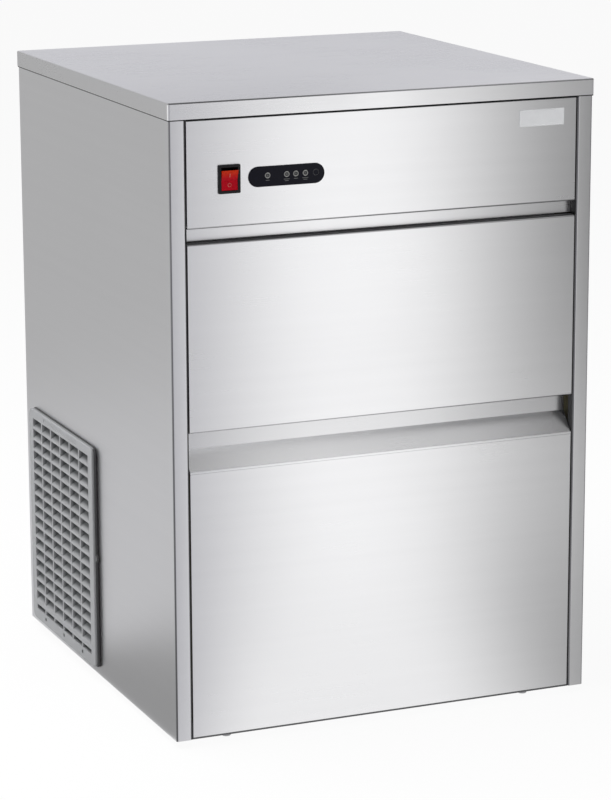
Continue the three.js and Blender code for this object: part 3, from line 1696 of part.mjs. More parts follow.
function buildTray() {
  const tray = groupAt(machine, 0, trayPivotY, trayPivotZ);
  const back = trayBack - trayPivotY;
  const front = trayFront - trayPivotY;
  const top = trayRimAbovePivot;
  const bottom = top - trayHeight;
  const basin = block([-trayHalf, trayHalf], [front, back], [bottom, top]).subtract(
    block(
      [-trayHalf + trayWall, trayHalf - trayWall],
      [front + trayWall, back - trayWall],
      [bottom + trayWall, top + overrun],
    ),
  );
  const ears = [-1, 1].map((side) => {
    const inner = side * (trayHalf - trayWall);
    const outer = side * trayHalf;
    return block(
      [Math.min(inner, outer), Math.max(inner, outer)],
      [back - trayWall, stubRadius],
      [top - trayEarHeight, top],
    );
  });
  const rightStub = rod(X, stubRadius, trayHalf - trayWall, moduleHalf + modulePlate, [0, 0, 0]);
  const leftStub = rod(
    X,
    stubRadius,
    -moduleHalf - modulePlate - tiltSocketDepth + sheet,
    -trayHalf + trayWall,
    [0, 0, 0],
  );
  const paddleY = (fingerFrontY + fingerBackY) / 2 - trayPivotY;
  const paddleZ = bottom + trayWall + paddleFloorGap + paddleShaftRadius;
  const shaftHole = rod(
    X,
    paddleShaftRadius + shaftClearance,
    trayHalf - trayWall - overrun,
    trayHalf + overrun,
    [0, paddleY, paddleZ],
    12,
  );
  const shape = cut(joined([basin, ...ears, rightStub, leftStub]), [shaftHole]);
  piece(tray, "water_tray", whitePlastic, shape);

  const paddle = groupAt(tray, 0, paddleY, paddleZ);
  const plateCount = fingerColumns + 1;
  const shaftLeft = -trayHalf + trayWall + seatGap;
  const shaftRight = trayHalf + seatGap + paddleMotorLength / 3;
  const shaft = rod(X, paddleShaftRadius, shaftLeft, shaftRight, [0, 0, 0], 12);
  const outline = [
    ...points([-paddleWidth / 2, 0], [paddleWidth / 2, 0]),
    ...arc(0, paddleLength - paddleWidth / 2, paddleWidth / 2, 0, 180, 5),
  ];
  const plates = Array.from({ length: plateCount }, (_, i) => {
    const x = -fingerHalfSpan - fingerPitch / 2 + i * fingerPitch;
    return extruded(X, outline, x - paddleThickness / 2, x + paddleThickness / 2);
  });
  piece(paddle, "agitator_paddle", whitePlastic, joined([shaft, ...plates]));

  const motor = block(
    [trayHalf + seatGap, trayHalf + seatGap + paddleMotorLength],
    [paddleY - paddleMotorSize / 2, paddleY + paddleMotorSize / 2],
    [bottom, bottom + paddleMotorSize],
  ).subtract(
    rod(X, paddleShaftRadius + shaftClearance, trayHalf - overrun, shaftRight + seatGap, [
      0,
      paddleY,
      paddleZ,
    ], 12),
  );
  piece(tray, "paddle_motor", blackPlastic, motor);
}

function buildTiltMotor() {
  const inner = -moduleHalf - modulePlate - seatGap;
  const body = block(
    [inner - tiltMotorLength, inner],
    [trayPivotY - tiltMotorWidth / 2, trayPivotY + tiltMotorWidth / 2],
    [
      trayPivotZ - tiltMotorHeight * (1 - tiltShaftShare),
      trayPivotZ + tiltMotorHeight * tiltShaftShare,
    ],
  );
  const socket = rod(X, stubRadius + stubClearance, inner - tiltSocketDepth, inner + overrun, [
    0,
    trayPivotY,
    trayPivotZ,
  ]);
  piece(machine, "tilt_motor", blackPlastic, body.subtract(socket));
}

// Back fittings

const valveZ = overallHeight - valveDrop;
const valveInnerY = backInside - valveBodyLength;
const valveCoilY = backInside - valveBodyLength + valveCoilDepth;

function buildWaterInlet() {
  const bodyLength = valveBodyLength + sheet + seatGap;
  const flange = spigotFlange;
  const profile = [
    [0, 0],
    [valveBodyRadius, 0],
    [valveBodyRadius, bodyLength],
    [valveFlangeRadius, bodyLength],
    [valveFlangeRadius, bodyLength + flange],
    [valveThreadRadius, bodyLength + flange],
    [valveThreadRadius, bodyLength + flange + valveThreadLength],
    [valveBoreRadius, bodyLength + flange + valveThreadLength],
    [valveBoreRadius, bodyLength],
    [0, bodyLength],
  ];
  const body = turnedAlong(Y, profile).translate([valveX, valveInnerY, valveZ]);
  const coil = block(
    [valveX - valveCoilWidth / 2, valveX + valveCoilWidth / 2],
    [valveInnerY, valveCoilY],
    [valveZ - valveCoilHeight, valveZ],
  );
  const outletY = (valveInnerY + valveCoilY) / 2;
  const outletTop = valveZ + valveBodyRadius + valveOutletLength;
  const outlet = rod(Z, valveOutletRadius, valveZ, outletTop, [valveX, outletY, 0], 12);
  piece(machine, "water_inlet_valve", whitePlastic, joined([body, coil, outlet]));

  const runZ = overallHeight - fillRiseDrop;
  const fillX = -trayHalf + fillSideRoom;
  const fillY = trayBack - trayWall - 2 * fillPipeRadius;
  const route = [
    [valveX, outletY, outletTop + seatGap],
    [valveX, outletY, runZ],
    [fillX, outletY, runZ],
    [fillX, fillY, runZ],
    [fillX, fillY, trayPivotZ + trayRimAbovePivot + fillTipGap],
  ];
  piece(machine, "fill_pipe", whitePlastic, pipe(route, fillPipeRadius, fillPipeRadius * 3));
}

function buildCordGland() {
  const through = glandInside + sheet + seatGap;
  const profile = [
    [glandRadius, 0],
    [glandRadius, through],
    [glandNutRadius, through],
    [glandNutRadius, through + glandNutLength],
    [glandRadius, through + glandNutLength],
    [glandBoreRadius + sheet, through + glandNutLength + glandDomeLength],
    [glandBoreRadius, through + glandNutLength + glandDomeLength],
    [glandBoreRadius, 0],
    [glandRadius, 0],
  ];
  const group = groupAt(machine, glandX, backInside - glandInside, glandHeight);
  piece(group, "cord_gland", blackPlastic, turnedAlong(Y, profile));
}

buildSidePanels();
buildLid();
buildFascia();
buildShelf();
buildGripStrip();
buildLowerPanel();
buildBasePan();
buildFeet();
buildBackPanel();
buildSwitch();
buildWindow();
buildBadge();
buildElectronicsBox();
buildDoor();
buildHingePins();
buildLiner();
buildInsulation();
buildSeal();
buildLevelSensor();
buildGrille();
buildCondenser();
buildFan();
buildCompressor();
buildPipes();
buildModuleFrame();
buildTrough();
buildDrain();
buildChute();
buildEvaporator();
buildTray();
buildTiltMotor();
buildWaterInlet();
buildCordGland();

const footprint = new THREE.Box3().setFromObject(machine);
const middle = footprint.getCenter(new THREE.Vector3());
machine.position.set(-middle.x, -middle.y, 0);

export default machine;
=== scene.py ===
# %% [markdown]
# # An ice cube maker in brushed stainless steel
# This lesson dresses a small catering ice machine: a folded sheet cabinet with a slim lid, a control
# strip with a red rocker switch, a bin door that tips up, and a moulded air grille low on the left
# side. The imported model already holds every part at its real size, so nothing is fitted by eye here.
# Blender adds what a solid model leaves out: broken edges, brushed grain, moulded texture, print,
# screws and fins.
#
# All lengths are metres. The front faces -Y, +X is to the right, and the floor is at z = 0.

# %% Load the model
import json
import math

import bmesh
import bpy
from mathutils import Matrix, Vector


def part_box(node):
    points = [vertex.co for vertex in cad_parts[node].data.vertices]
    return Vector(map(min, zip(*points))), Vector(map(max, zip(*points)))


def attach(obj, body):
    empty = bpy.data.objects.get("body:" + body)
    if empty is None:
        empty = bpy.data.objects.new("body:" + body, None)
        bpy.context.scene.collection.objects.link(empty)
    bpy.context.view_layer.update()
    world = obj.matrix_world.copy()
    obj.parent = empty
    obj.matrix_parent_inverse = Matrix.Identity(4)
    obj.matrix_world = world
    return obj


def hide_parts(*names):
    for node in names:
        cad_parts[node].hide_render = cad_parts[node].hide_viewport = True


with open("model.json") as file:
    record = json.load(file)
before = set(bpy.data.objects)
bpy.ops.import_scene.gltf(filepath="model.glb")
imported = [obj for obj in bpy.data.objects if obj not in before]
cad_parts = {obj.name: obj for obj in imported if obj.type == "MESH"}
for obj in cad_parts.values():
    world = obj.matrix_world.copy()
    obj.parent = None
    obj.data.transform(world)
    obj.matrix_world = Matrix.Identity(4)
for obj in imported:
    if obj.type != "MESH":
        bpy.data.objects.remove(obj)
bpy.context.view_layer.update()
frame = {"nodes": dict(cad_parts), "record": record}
nodes = frame["nodes"]
record = frame["record"]
MM = 0.001
print("parts:", len(nodes))

# %% [markdown]
# ## Names for what the model knows
# Every part belongs to a moving body and to a material slot. Two small tables turn those lists round,
# so that a part's name is enough to find both.

# %% Which body and which slot a part has
body_of = {node: body for body, members in record["behaviour"]["bodies"].items() for node in members}
slot_of = {entry["node"]: entry["material_slot"] for entry in record["subparts"]}
in_slot = {}
for node, slot in slot_of.items():
    in_slot.setdefault(slot, []).append(node)
print("slots:", len(in_slot), "bodies:", len(set(body_of.values())))


# %% [markdown]
# ## Building node trees by hand
# Materials and Geometry Nodes are both trees of nodes. One helper adds a node, sets its options, and
# fills each input with a value or with a link from another node. A second one makes an empty group
# whose inputs and outputs have names, as a tool has handles.

# %% Node helpers
def add(tree, kind, inputs=None, **options):
    """Adds a node. An input's value is a plain value or the output socket that feeds it."""
    made = tree.nodes.new(kind)
    for option, value in options.items():
        setattr(made, option, value)
    for socket, value in (inputs or {}).items():
        if isinstance(value, bpy.types.NodeSocket):
            tree.links.new(value, made.inputs[socket])
        else:
            made.inputs[socket].default_value = value
    return made


def new_group(name, kind, inputs, outputs):
    """Makes a group from {socket name: (socket type, start value)} and {socket name: socket type}."""
    tree = bpy.data.node_groups.new(name, kind)
    for label, (socket_type, value) in inputs.items():
        socket = tree.interface.new_socket(name=label, in_out="INPUT", socket_type=socket_type)
        if value is not None:
            socket.default_value = value
    for label, socket_type in outputs.items():
        tree.interface.new_socket(name=label, in_out="OUTPUT", socket_type=socket_type)
    return tree, add(tree, "NodeGroupInput").outputs, add(tree, "NodeGroupOutput").inputs


# %% [markdown]
# ## Surface effects that several finishes share
# Brushing, handling marks, moulded texture and worn edges turn up on more than one material. Each is
# a shader group that puts out a mask or a height, and each material decides what to do with it.
#
# The brushing group stretches a noise: many lines to the metre across the grain, few along it. The
# wear group compares the true normal with one that is rounded over an edge. They differ only close
# to edges, which is where paint and plastic rub bright. The lean group adds up how far a surface
# faces along the chosen axes. A flat face scores one along its own axis, and a fold between two of
# them scores more, so it finds the folds of a sheet.

# %% Brushed grain
FLOAT, VECTOR = "NodeSocketFloat", "NodeSocketVector"


def brushing_group():
    tree, given, result = new_group(
        "Brushed grain", "ShaderNodeTree",
        {"Place": (VECTOR, None), "Lines per metre": (VECTOR, (10.0, 900.0, 900.0))},
        {"Lines": FLOAT, "Bands": FLOAT},
    )
    fine = add(tree, "ShaderNodeVectorMath", {0: given["Place"], 1: given["Lines per metre"]},
               operation="MULTIPLY")
    lines = add(tree, "ShaderNodeTexNoise", {"Vector": fine.outputs[0], "Scale": 1.0, "Detail": 3.0})
    broad = add(tree, "ShaderNodeTexNoise", {"Vector": fine.outputs[0], "Scale": 0.12, "Detail": 2.0})
    tree.links.new(lines.outputs["Fac"], result["Lines"])
    tree.links.new(broad.outputs["Fac"], result["Bands"])
    return tree


brushing = brushing_group()
print(brushing.name, "nodes:", len(brushing.nodes))


# %% Handling marks and moulded texture
def handling_group():
    tree, given, result = new_group(
        "Handling marks", "ShaderNodeTree",
        {"Place": (VECTOR, None), "Patches per metre": (FLOAT, 9.0)}, {"Marks": FLOAT},
    )
    noise = add(tree, "ShaderNodeTexNoise", {
        "Vector": given["Place"], "Scale": given["Patches per metre"], "Detail": 5.0, "Roughness": 0.6,
    })
    soft = add(tree, "ShaderNodeMapRange", {"Value": noise.outputs["Fac"], "From Min": 0.42, "From Max": 0.7})
    tree.links.new(soft.outputs["Result"], result["Marks"])
    return tree


def moulding_group():
    tree, given, result = new_group(
        "Moulded texture", "ShaderNodeTree",
        {"Place": (VECTOR, None), "Grains per metre": (FLOAT, 1600.0)}, {"Height": FLOAT},
    )
    cells = add(tree, "ShaderNodeTexVoronoi", {"Vector": given["Place"], "Scale": given["Grains per metre"]},
                feature="SMOOTH_F1")
    tree.links.new(cells.outputs["Distance"], result["Height"])
    return tree


# %% Worn edges and leaning faces
def wear_group():
    tree, given, result = new_group(
        "Worn edges", "ShaderNodeTree",
        {"Place": (VECTOR, None), "Width": (FLOAT, 0.6 * MM)}, {"Wear": FLOAT},
    )
    rounded = add(tree, "ShaderNodeBevel", {"Radius": given["Width"]}, samples=4)
    true_normal = add(tree, "ShaderNodeNewGeometry").outputs["Normal"]
    match = add(tree, "ShaderNodeVectorMath", {0: rounded.outputs["Normal"], 1: true_normal},
                operation="DOT_PRODUCT")
    edge = add(tree, "ShaderNodeMapRange", {
        "Value": match.outputs["Value"], "From Min": 0.98, "From Max": 0.8, "To Min": 0.0, "To Max": 1.0,
    })
    patchy = add(tree, "ShaderNodeTexNoise", {"Vector": given["Place"], "Scale": 60.0, "Detail": 3.0})
    wear = add(tree, "ShaderNodeMath", {0: edge.outputs["Result"], 1: patchy.outputs["Fac"]},
               operation="MULTIPLY")
    tree.links.new(wear.outputs["Value"], result["Wear"])
    return tree


# The lean mask places the painted shade on the steel's folds and on the grip strip's slope.
def lean_group():
    tree, given, result = new_group(
        "Lean", "ShaderNodeTree",
        {"Facing": (VECTOR, None), "Axes": (VECTOR, (0, 1, 1)), "Low": (FLOAT, 1.08), "High": (FLOAT, 1.3)},
        {"Lean": FLOAT},
    )
    either_way = add(tree, "ShaderNodeVectorMath", {0: given["Facing"]}, operation="ABSOLUTE")
    score = add(tree, "ShaderNodeVectorMath", {0: either_way.outputs[0], 1: given["Axes"]},
                operation="DOT_PRODUCT")
    share = add(tree, "ShaderNodeMapRange", {
        "Value": score.outputs["Value"], "From Min": given["Low"], "From Max": given["High"],
    })
    tree.links.new(share.outputs["Result"], result["Lean"])
    return tree


handling, moulding, wearing, leaning = handling_group(), moulding_group(), wear_group(), lean_group()
print("shared effects:", [group.name for group in (brushing, handling, moulding, wearing, leaning)])


# %% [markdown]
# ## Starting a material
# Each finish has its own Principled shader. A value that is the same all over is typed into the
# shader's socket. What changes over the surface is linked in afterwards.

# %% Material helpers
SOCKET_NAMES = {
    "metallic": "Metallic", "anisotropic": "Anisotropic", "gloss": "Specular IOR Level",
}


def new_material(name, **values):
    """A material with one shader. Returns it with its tree, shader and object coordinates."""
    material = bpy.data.materials.new(name)
    material.use_nodes = True
    tree = material.node_tree
    shader = tree.nodes["Principled BSDF"]
    for socket, value in values.items():
        shader.inputs[SOCKET_NAMES[socket]].default_value = value
    place = add(tree, "ShaderNodeTexCoord").outputs["Object"]
    return material, tree, shader, place


def grouped(tree, group, **inputs):
    """Places a shared group in a material."""
    named = {label.replace("_", " "): value for label, value in inputs.items()}
    return add(tree, "ShaderNodeGroup", named, node_tree=group).outputs


def spread(tree, mask, low, high):
    """Turns a mask from 0 to 1 into a value from low to high."""
    return add(tree, "ShaderNodeMapRange", {"Value": mask, "To Min": low, "To Max": high}).outputs["Result"]


def tinted(tree, mask, colour, other):
    """Mixes a colour, or the socket that gives one, with another colour by a mask."""
    first = colour if isinstance(colour, bpy.types.NodeSocket) else (*colour, 1)
    mix = add(tree, "ShaderNodeMix", {"Factor": mask, 6: first, 7: (*other, 1)}, data_type="RGBA")
    return mix.outputs[2]


def bumped(tree, shader, height, depth, strength=1.0):
    """Lets a height of 0 to 1 stand that deep, in metres, on the shader's surface."""
    bump = add(tree, "ShaderNodeBump", {"Height": height, "Distance": depth, "Strength": strength})
    tree.links.new(bump.outputs["Normal"], shader.inputs["Normal"])


# %% [markdown]
# ## Brushed stainless sheet
# The mill draws the sheet under a belt, and the fine scratches spread a reflection across themselves
# but hardly along. That is anisotropy. The shader needs a direction for it, and a plain vector is
# enough, because each panel is flat and keeps its grain when the door swings.
#
# Along each fold the sheet's colour is painted darker, as painted shade, and the lean group finds
# the fold. The grip strip's sloping faces get painted shade from the same group.

# %% Steel finishes
def brushed_steel(name, along, across, roughness, lean, shade, colour=(0.87, 0.87, 0.88)):
    """along is the grain's direction, across that in which it spreads light. Where the surface leans
    as told, the colour turns to the given painted shade."""
    material, tree, shader, place = new_material(name, metallic=1.0, anisotropic=0.55)
    few_lines, many_lines = 7.0, 850.0
    counts = [few_lines if step else many_lines for step in along]
    grain = grouped(tree, brushing, Place=place, Lines_per_metre=counts)
    marks = grouped(tree, handling, Place=place, Patches_per_metre=5.0)
    band_shade = 0.965
    duller = [channel * band_shade for channel in colour]
    drawn = tinted(tree, grain["Bands"], colour, duller)
    facing = add(tree, "ShaderNodeTexCoord").outputs["Normal"]
    leans = grouped(tree, leaning, Facing=facing, **lean)
    tree.links.new(tinted(tree, leans["Lean"], drawn, shade), shader.inputs["Base Color"])
    line_change, mark_change = 0.02, 0.03
    rough = add(tree, "ShaderNodeMath", {
        0: spread(tree, grain["Lines"], roughness - line_change, roughness + line_change),
        1: spread(tree, marks["Marks"], 0.0, mark_change),
    }, operation="ADD")
    tree.links.new(rough.outputs["Value"], shader.inputs["Roughness"])
    bumped(tree, shader, grain["Lines"], 0.0004 * MM)
    direction = add(tree, "ShaderNodeCombineXYZ", dict(enumerate(across)))
    tree.links.new(direction.outputs["Vector"], shader.inputs["Tangent"])
    return material


ALONG_X, ALONG_Y, ALONG_Z = (1, 0, 0), (0, 1, 0), (0, 0, 1)
# The fold and slope axes say where the painted shade goes, and the greys are that painted shade.
LEVEL_FOLD, UPRIGHT_FOLD = {"Axes": (0, 1, 1)}, {"Axes": (1, 1, 0)}
PAINTED_SLOPE_SHADE = {"Axes": ALONG_Z, "Low": 0.2, "High": 0.5}
DARK_PAINTED_FOLD_SHADE, PALE_PAINTED_FOLD_SHADE = (0.25, 0.25, 0.26), (0.42, 0.42, 0.43)
front_steel = brushed_steel("Brushed steel, front", ALONG_X, ALONG_Z, 0.28, LEVEL_FOLD, PALE_PAINTED_FOLD_SHADE)
# The grip strip's steel is painted darker overall, as painted shade where it lies recessed under the door.
grip_steel_painted_shade = brushed_steel("Brushed steel, grip, painted shade", ALONG_X, ALONG_Z, 0.25, PAINTED_SLOPE_SHADE, (0.69, 0.69, 0.7),
                           colour=(0.76, 0.76, 0.77))
side_steel = brushed_steel("Brushed steel, side", ALONG_Y, ALONG_Z, 0.3, UPRIGHT_FOLD, DARK_PAINTED_FOLD_SHADE)
lid_steel = brushed_steel("Brushed steel, lid", ALONG_X, ALONG_Y, 0.27, LEVEL_FOLD, DARK_PAINTED_FOLD_SHADE)
print("steels:", [steel.name for steel in (front_steel, grip_steel_painted_shade, side_steel, lid_steel)])


# %% Zinc, bright plate and turned steel
def zinc_sheet():
    material, tree, shader, place = new_material("Zinc-coated sheet", metallic=1.0)
    crystals = add(tree, "ShaderNodeTexVoronoi", {"Vector": place, "Scale": 90.0})
    tone = add(tree, "ShaderNodeSeparateColor", {"Color": crystals.outputs["Color"]}).outputs["Red"]
    tree.links.new(tinted(tree, tone, (0.56, 0.575, 0.59), (0.67, 0.685, 0.7)), shader.inputs["Base Color"])
    tree.links.new(spread(tree, tone, 0.36, 0.5), shader.inputs["Roughness"])
    return material


def plain_metal(name, colour, low, high, patches=40.0, metallic=1.0, stain=0.82):
    material, tree, shader, place = new_material(name, metallic=metallic)
    marks = grouped(tree, handling, Place=place, Patches_per_metre=patches)
    duller = [channel * stain for channel in colour]
    tree.links.new(tinted(tree, marks["Marks"], colour, duller), shader.inputs["Base Color"])
    tree.links.new(spread(tree, marks["Marks"], low, high), shader.inputs["Roughness"])
    return material


zinc = zinc_sheet()
bright_plate = plain_metal("Bright plate", (0.92, 0.93, 0.95), 0.35, 0.45, metallic=0.0, stain=0.96)
turned_steel = plain_metal("Turned steel", (0.55, 0.55, 0.57), 0.25, 0.4)
foot_steel = plain_metal("Turned foot", (0.3, 0.3, 0.31), 0.3, 0.45)
nickel_plate = plain_metal("Nickel plate", (0.68, 0.66, 0.62), 0.2, 0.34)
copper_tube = plain_metal("Copper tube", (0.72, 0.36, 0.22), 0.28, 0.42)
fin_stock = plain_metal("Fin stock", (0.62, 0.64, 0.66), 0.35, 0.5)
print("finishes so far:", len(bpy.data.materials))


# %% [markdown]
# ## Plastics, rubber, foam and paint
# Moulded parts differ in colour, gloss and grain, but they are made the same way, so one function
# covers them. Rubbed edges are a little lighter than the rest.

# %% Moulded finishes
def moulded(name, colour, roughness, grain_depth=0.02 * MM, grains=1400.0, edge=1.25, **values):
    material, tree, shader, place = new_material(name, **values)
    marks = grouped(tree, handling, Place=place, Patches_per_metre=14.0)
    wear = grouped(tree, wearing, Place=place)
    lift, rougher = 0.02, 0.1
    lighter = [min(1.0, channel * edge + lift) for channel in colour]
    tree.links.new(tinted(tree, wear["Wear"], colour, lighter), shader.inputs["Base Color"])
    tree.links.new(spread(tree, marks["Marks"], roughness, roughness + rougher), shader.inputs["Roughness"])
    texture = grouped(tree, moulding, Place=place, Grains_per_metre=grains)
    bumped(tree, shader, texture["Height"], grain_depth)
    return material


grille_grey = moulded("Grey grille plastic", (0.36, 0.365, 0.375), 0.45)
box_grey = moulded("Grey box plastic", (0.42, 0.43, 0.44), 0.5)
hose_grey = moulded("Grey hose", (0.5, 0.5, 0.5), 0.45)
liner_white = moulded("White liner plastic", (0.8, 0.81, 0.82), 0.3, grain_depth=0.006 * MM)
switch_black = moulded("Black switch plastic", (0.011, 0.011, 0.012), 0.4, gloss=0.2)
part_black = moulded("Black moulded plastic", (0.02, 0.02, 0.022), 0.48)
window_black = moulded("Gloss black window", (0.004, 0.004, 0.01), 0.09, grain_depth=0.001 * MM, gloss=0.12)
board_green = moulded("Solder mask green", (0.015, 0.12, 0.04), 0.35)
black_rubber = moulded("Black rubber", (0.02, 0.02, 0.021), 0.75, grains=2200.0)
# The two greys below paint the shade in gaps between panels.
painted_shade_grey = moulded("Dark grey painted shade", (0.05, 0.05, 0.052), 0.6)
base_shade_grey = moulded("Grey painted shade strip", (0.13, 0.13, 0.135), 0.6)
black_enamel = moulded("Black enamel", (0.012, 0.012, 0.013), 0.22, grain_depth=0.01 * MM, grains=500.0)
yellow_foam = moulded("Rigid foam", (0.2, 0.18, 0.11), 0.9, grain_depth=0.4 * MM, grains=420.0)
filter_grey = moulded("Dark filter mesh", (0.05, 0.05, 0.055), 0.9)
print("finishes so far:", len(bpy.data.materials))


# %% [markdown]
# ## Shade inside the grille
# The grille's face is pale, and its cells get darker inwards, where little light comes. The dark
# grows with the distance from the face, so the finish reads that distance and mixes in a shade.
# This keeps the cells dark in every view, whatever the lamps do.

# %% A finish that darkens with depth
SHADE_START, SHADE_DEPTH = 0.8 * MM, 4.2 * MM


def shade_cells(material, shade):
    """Darkens a finish from the grille's face inwards, as in the depth of its cells."""
    tree = material.node_tree
    tint = tree.nodes["Principled BSDF"].inputs["Base Color"]
    drawn = tint.links[0].from_socket
    place = add(tree, "ShaderNodeTexCoord").outputs["Object"]
    inwards = add(tree, "ShaderNodeSeparateXYZ", {"Vector": place}).outputs["X"]
    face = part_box("side_grille")[0].x
    depth = add(tree, "ShaderNodeMapRange", {
        "Value": inwards, "From Min": face + SHADE_START, "From Max": face + SHADE_DEPTH,
    })
    tree.links.new(tinted(tree, depth.outputs["Result"], drawn, shade), tint)


shade_cells(grille_grey, (0.17, 0.175, 0.18))
print("cells darken over", round((SHADE_DEPTH - SHADE_START) / MM, 1), "mm")

# %% [markdown]
# ## The rocker's red
# The rocker is clear red plastic with a lamp behind its top half. The lamp could be a light of its
# own, but the eye only sees the red turn to orange there, so the colour follows the height instead.

# %% A rocker with a lamp inside
def lit_rocker():
    """Clear red plastic, which turns orange where the lamp stands behind the top half."""
    material, tree, shader, place = new_material("Clear red rocker", gloss=0.08)
    low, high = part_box("power_rocker")
    height = add(tree, "ShaderNodeSeparateXYZ", {"Vector": place}).outputs["Z"]
    lamp = add(tree, "ShaderNodeMapRange", {
        "Value": height, "From Min": (low.z + high.z) / 2, "From Max": high.z,
    }, interpolation_type="SMOOTHSTEP").outputs["Result"]
    tree.links.new(tinted(tree, lamp, (0.5, 0.002, 0.013), (0.62, 0.03, 0.004)), shader.inputs["Base Color"])
    marks = grouped(tree, handling, Place=place, Patches_per_metre=60.0)
    tree.links.new(spread(tree, marks["Marks"], 0.18, 0.26), shader.inputs["Roughness"])
    return material


rocker_red = lit_rocker()
print("rocker:", rocker_red.name)

# %% [markdown]
# ## One finish for each slot
# The record names twenty-one slots. The steel slot alone takes four finishes: the grain runs another
# way on the sides and on the lid than on the front, and the grip strip is painted darker as painted shade.

# %% The finish of every part
finish_of_slot = {
    "steel": front_steel, "zinc_steel": zinc, "bright_plate": bright_plate, "grille_plastic": grille_grey,
    "box_plastic": box_grey, "hose": hose_grey, "liner_plastic": liner_white, "foam": yellow_foam,
    "switch_black": switch_black, "window_black": window_black, "rocker_red": rocker_red,
    "board": board_green, "rubber": black_rubber, "foot": foot_steel, "pin_steel": turned_steel,
    "nickel": nickel_plate, "copper": copper_tube, "aluminium": fin_stock, "black_paint": black_enamel,
    "black_plastic": part_black, "filter_mesh": filter_grey,
}
finish_of_node = {
    "top_panel": lid_steel, "left_side_panel": side_steel, "right_side_panel": side_steel,
    "finger_recess": grip_steel_painted_shade,
}


def finish(node):
    return finish_of_node.get(node, finish_of_slot[slot_of[node]])


for node, part in nodes.items():
    part.data.materials.clear()
    part.data.materials.append(finish(node))
print("finished parts:", len(nodes), "slots:", len(finish_of_slot))


# %% [markdown]
# ## Broken edges
# No real edge is perfectly sharp: sheet is deburred and plastic shrinks in its mould, and the thin
# bright line along an edge is what makes a part look solid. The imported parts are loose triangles, so
# a copy is merged first, its flat faces are dissolved into one, and a bevel breaks every edge that
# is sharper than the limit. A Weighted Normal modifier then keeps the large faces flat to the light.

# %% Making and shading a piece
SHARP, FLAT = math.radians(35), math.radians(0.5)
SAME_POINT = 0.001 * MM


def linked(name, mesh, material=None):
    """Makes an object from a mesh whose points are already in place."""
    piece = bpy.data.objects.new(name, mesh)
    bpy.context.scene.collection.objects.link(piece)
    mesh.materials.clear()
    if material:
        mesh.materials.append(material)
    return piece


def smooth(mesh):
    """Shades a mesh smooth, but keeps its sharp edges."""
    mesh.shade_smooth()
    mesh.set_sharp_from_angle(angle=SHARP)


# %% Baking a piece with broken edges
def baked(piece):
    """Turns a piece and its modifiers into a plain mesh."""
    ready = piece.evaluated_get(bpy.context.evaluated_depsgraph_get())
    mesh = bpy.data.meshes.new_from_object(ready)
    piece.modifiers.clear()
    piece.data = mesh
    return mesh


def break_edges(piece, width, segments=2):
    smooth(piece.data)
    bevel = piece.modifiers.new("Broken edges", "BEVEL")
    bevel.width = width
    bevel.segments = segments
    bevel.limit_method = "ANGLE"
    bevel.angle_limit = SHARP
    bevel.harden_normals = True
    level = piece.modifiers.new("Flat faces", "WEIGHTED_NORMAL")
    level.keep_sharp = True
    return baked(piece)


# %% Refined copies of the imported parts
def join_frame(piece, body, slot, *replaced):
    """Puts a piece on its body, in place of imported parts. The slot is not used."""
    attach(piece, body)
    if replaced:
        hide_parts(*replaced)


def merged(node):
    """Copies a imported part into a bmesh, joins its loose triangles and dissolves its flat faces."""
    shape = bmesh.new()
    shape.from_mesh(nodes[node].data)
    bmesh.ops.remove_doubles(shape, verts=shape.verts, dist=SAME_POINT)
    bmesh.ops.dissolve_limit(shape, angle_limit=FLAT, verts=shape.verts, edges=shape.edges)
    return shape


def as_mesh(shape, name):
    """Closes a bmesh and gives its mesh."""
    mesh = bpy.data.meshes.new(name)
    shape.to_mesh(mesh)
    shape.free()
    return mesh


def refined(node, width, reshape=None):
    """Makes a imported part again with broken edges. reshape may change its bmesh first."""
    name = node + "_shape"
    shape = merged(node)
    if reshape:
        reshape(shape)
    piece = linked(name, as_mesh(shape, name), finish(node))
    break_edges(piece, width)
    join_frame(piece, body_of[node], slot_of[node], node)
    return piece


# %% How far each slot's edges are broken
edge_width = {
    "steel": 0.3 * MM, "grille_plastic": 0.35 * MM, "switch_black": 0.4 * MM, "rocker_red": 0.5 * MM,
    "window_black": 0.3 * MM, "liner_plastic": 0.8 * MM, "zinc_steel": 0.25 * MM, "rubber": 0.6 * MM,
    "foot": 0.5 * MM, "pin_steel": 0.3 * MM, "nickel": 0.5 * MM, "copper": 0.3 * MM, "board": 0.1 * MM,
    "black_paint": 1.2 * MM, "black_plastic": 0.4 * MM, "box_plastic": 0.6 * MM, "hose": 0.3 * MM,
    "foam": 1.0 * MM,
}
pieces = {}
for slot, width in edge_width.items():
    for node in in_slot[slot]:
        pieces[node] = refined(node, width)
print("refined:", len(pieces), "faces:", sum(len(piece.data.polygons) for piece in pieces.values()))


# %% [markdown]
# ## What repeats is grown
# Screws, fins, wires, threads, rings and printed bars all follow a rule: the same small shape at
# every point of a start mesh. Geometry Nodes say such a rule once, with named inputs for the sizes.
# Each tree ends with Realize Instances and Set Material, and the piece is baked to a plain mesh.

# %% Geometry Nodes helpers
GEOMETRY, WHOLE, THING, FINISH = (
    "NodeSocketGeometry", "NodeSocketInt", "NodeSocketObject", "NodeSocketMaterial",
)


def growth(name, **inputs):
    """Starts a tree that takes a start mesh, its own sizes and a finish."""
    sizes = {label.replace("_", " ").capitalize(): kind for label, kind in inputs.items()}
    return new_group(
        name, "GeometryNodeTree", {"Start": (GEOMETRY, None), **sizes, "Finish": (FINISH, None)},
        {"Result": GEOMETRY},
    )


def close_tree(tree, grown, given, result):
    """Makes instances real, and gives them their finish."""
    real = add(tree, "GeometryNodeRealizeInstances", {"Geometry": grown})
    done = add(tree, "GeometryNodeSetMaterial", {"Geometry": real.outputs[0], "Material": given["Finish"]})
    tree.links.new(done.outputs[0], result["Result"])
    return tree


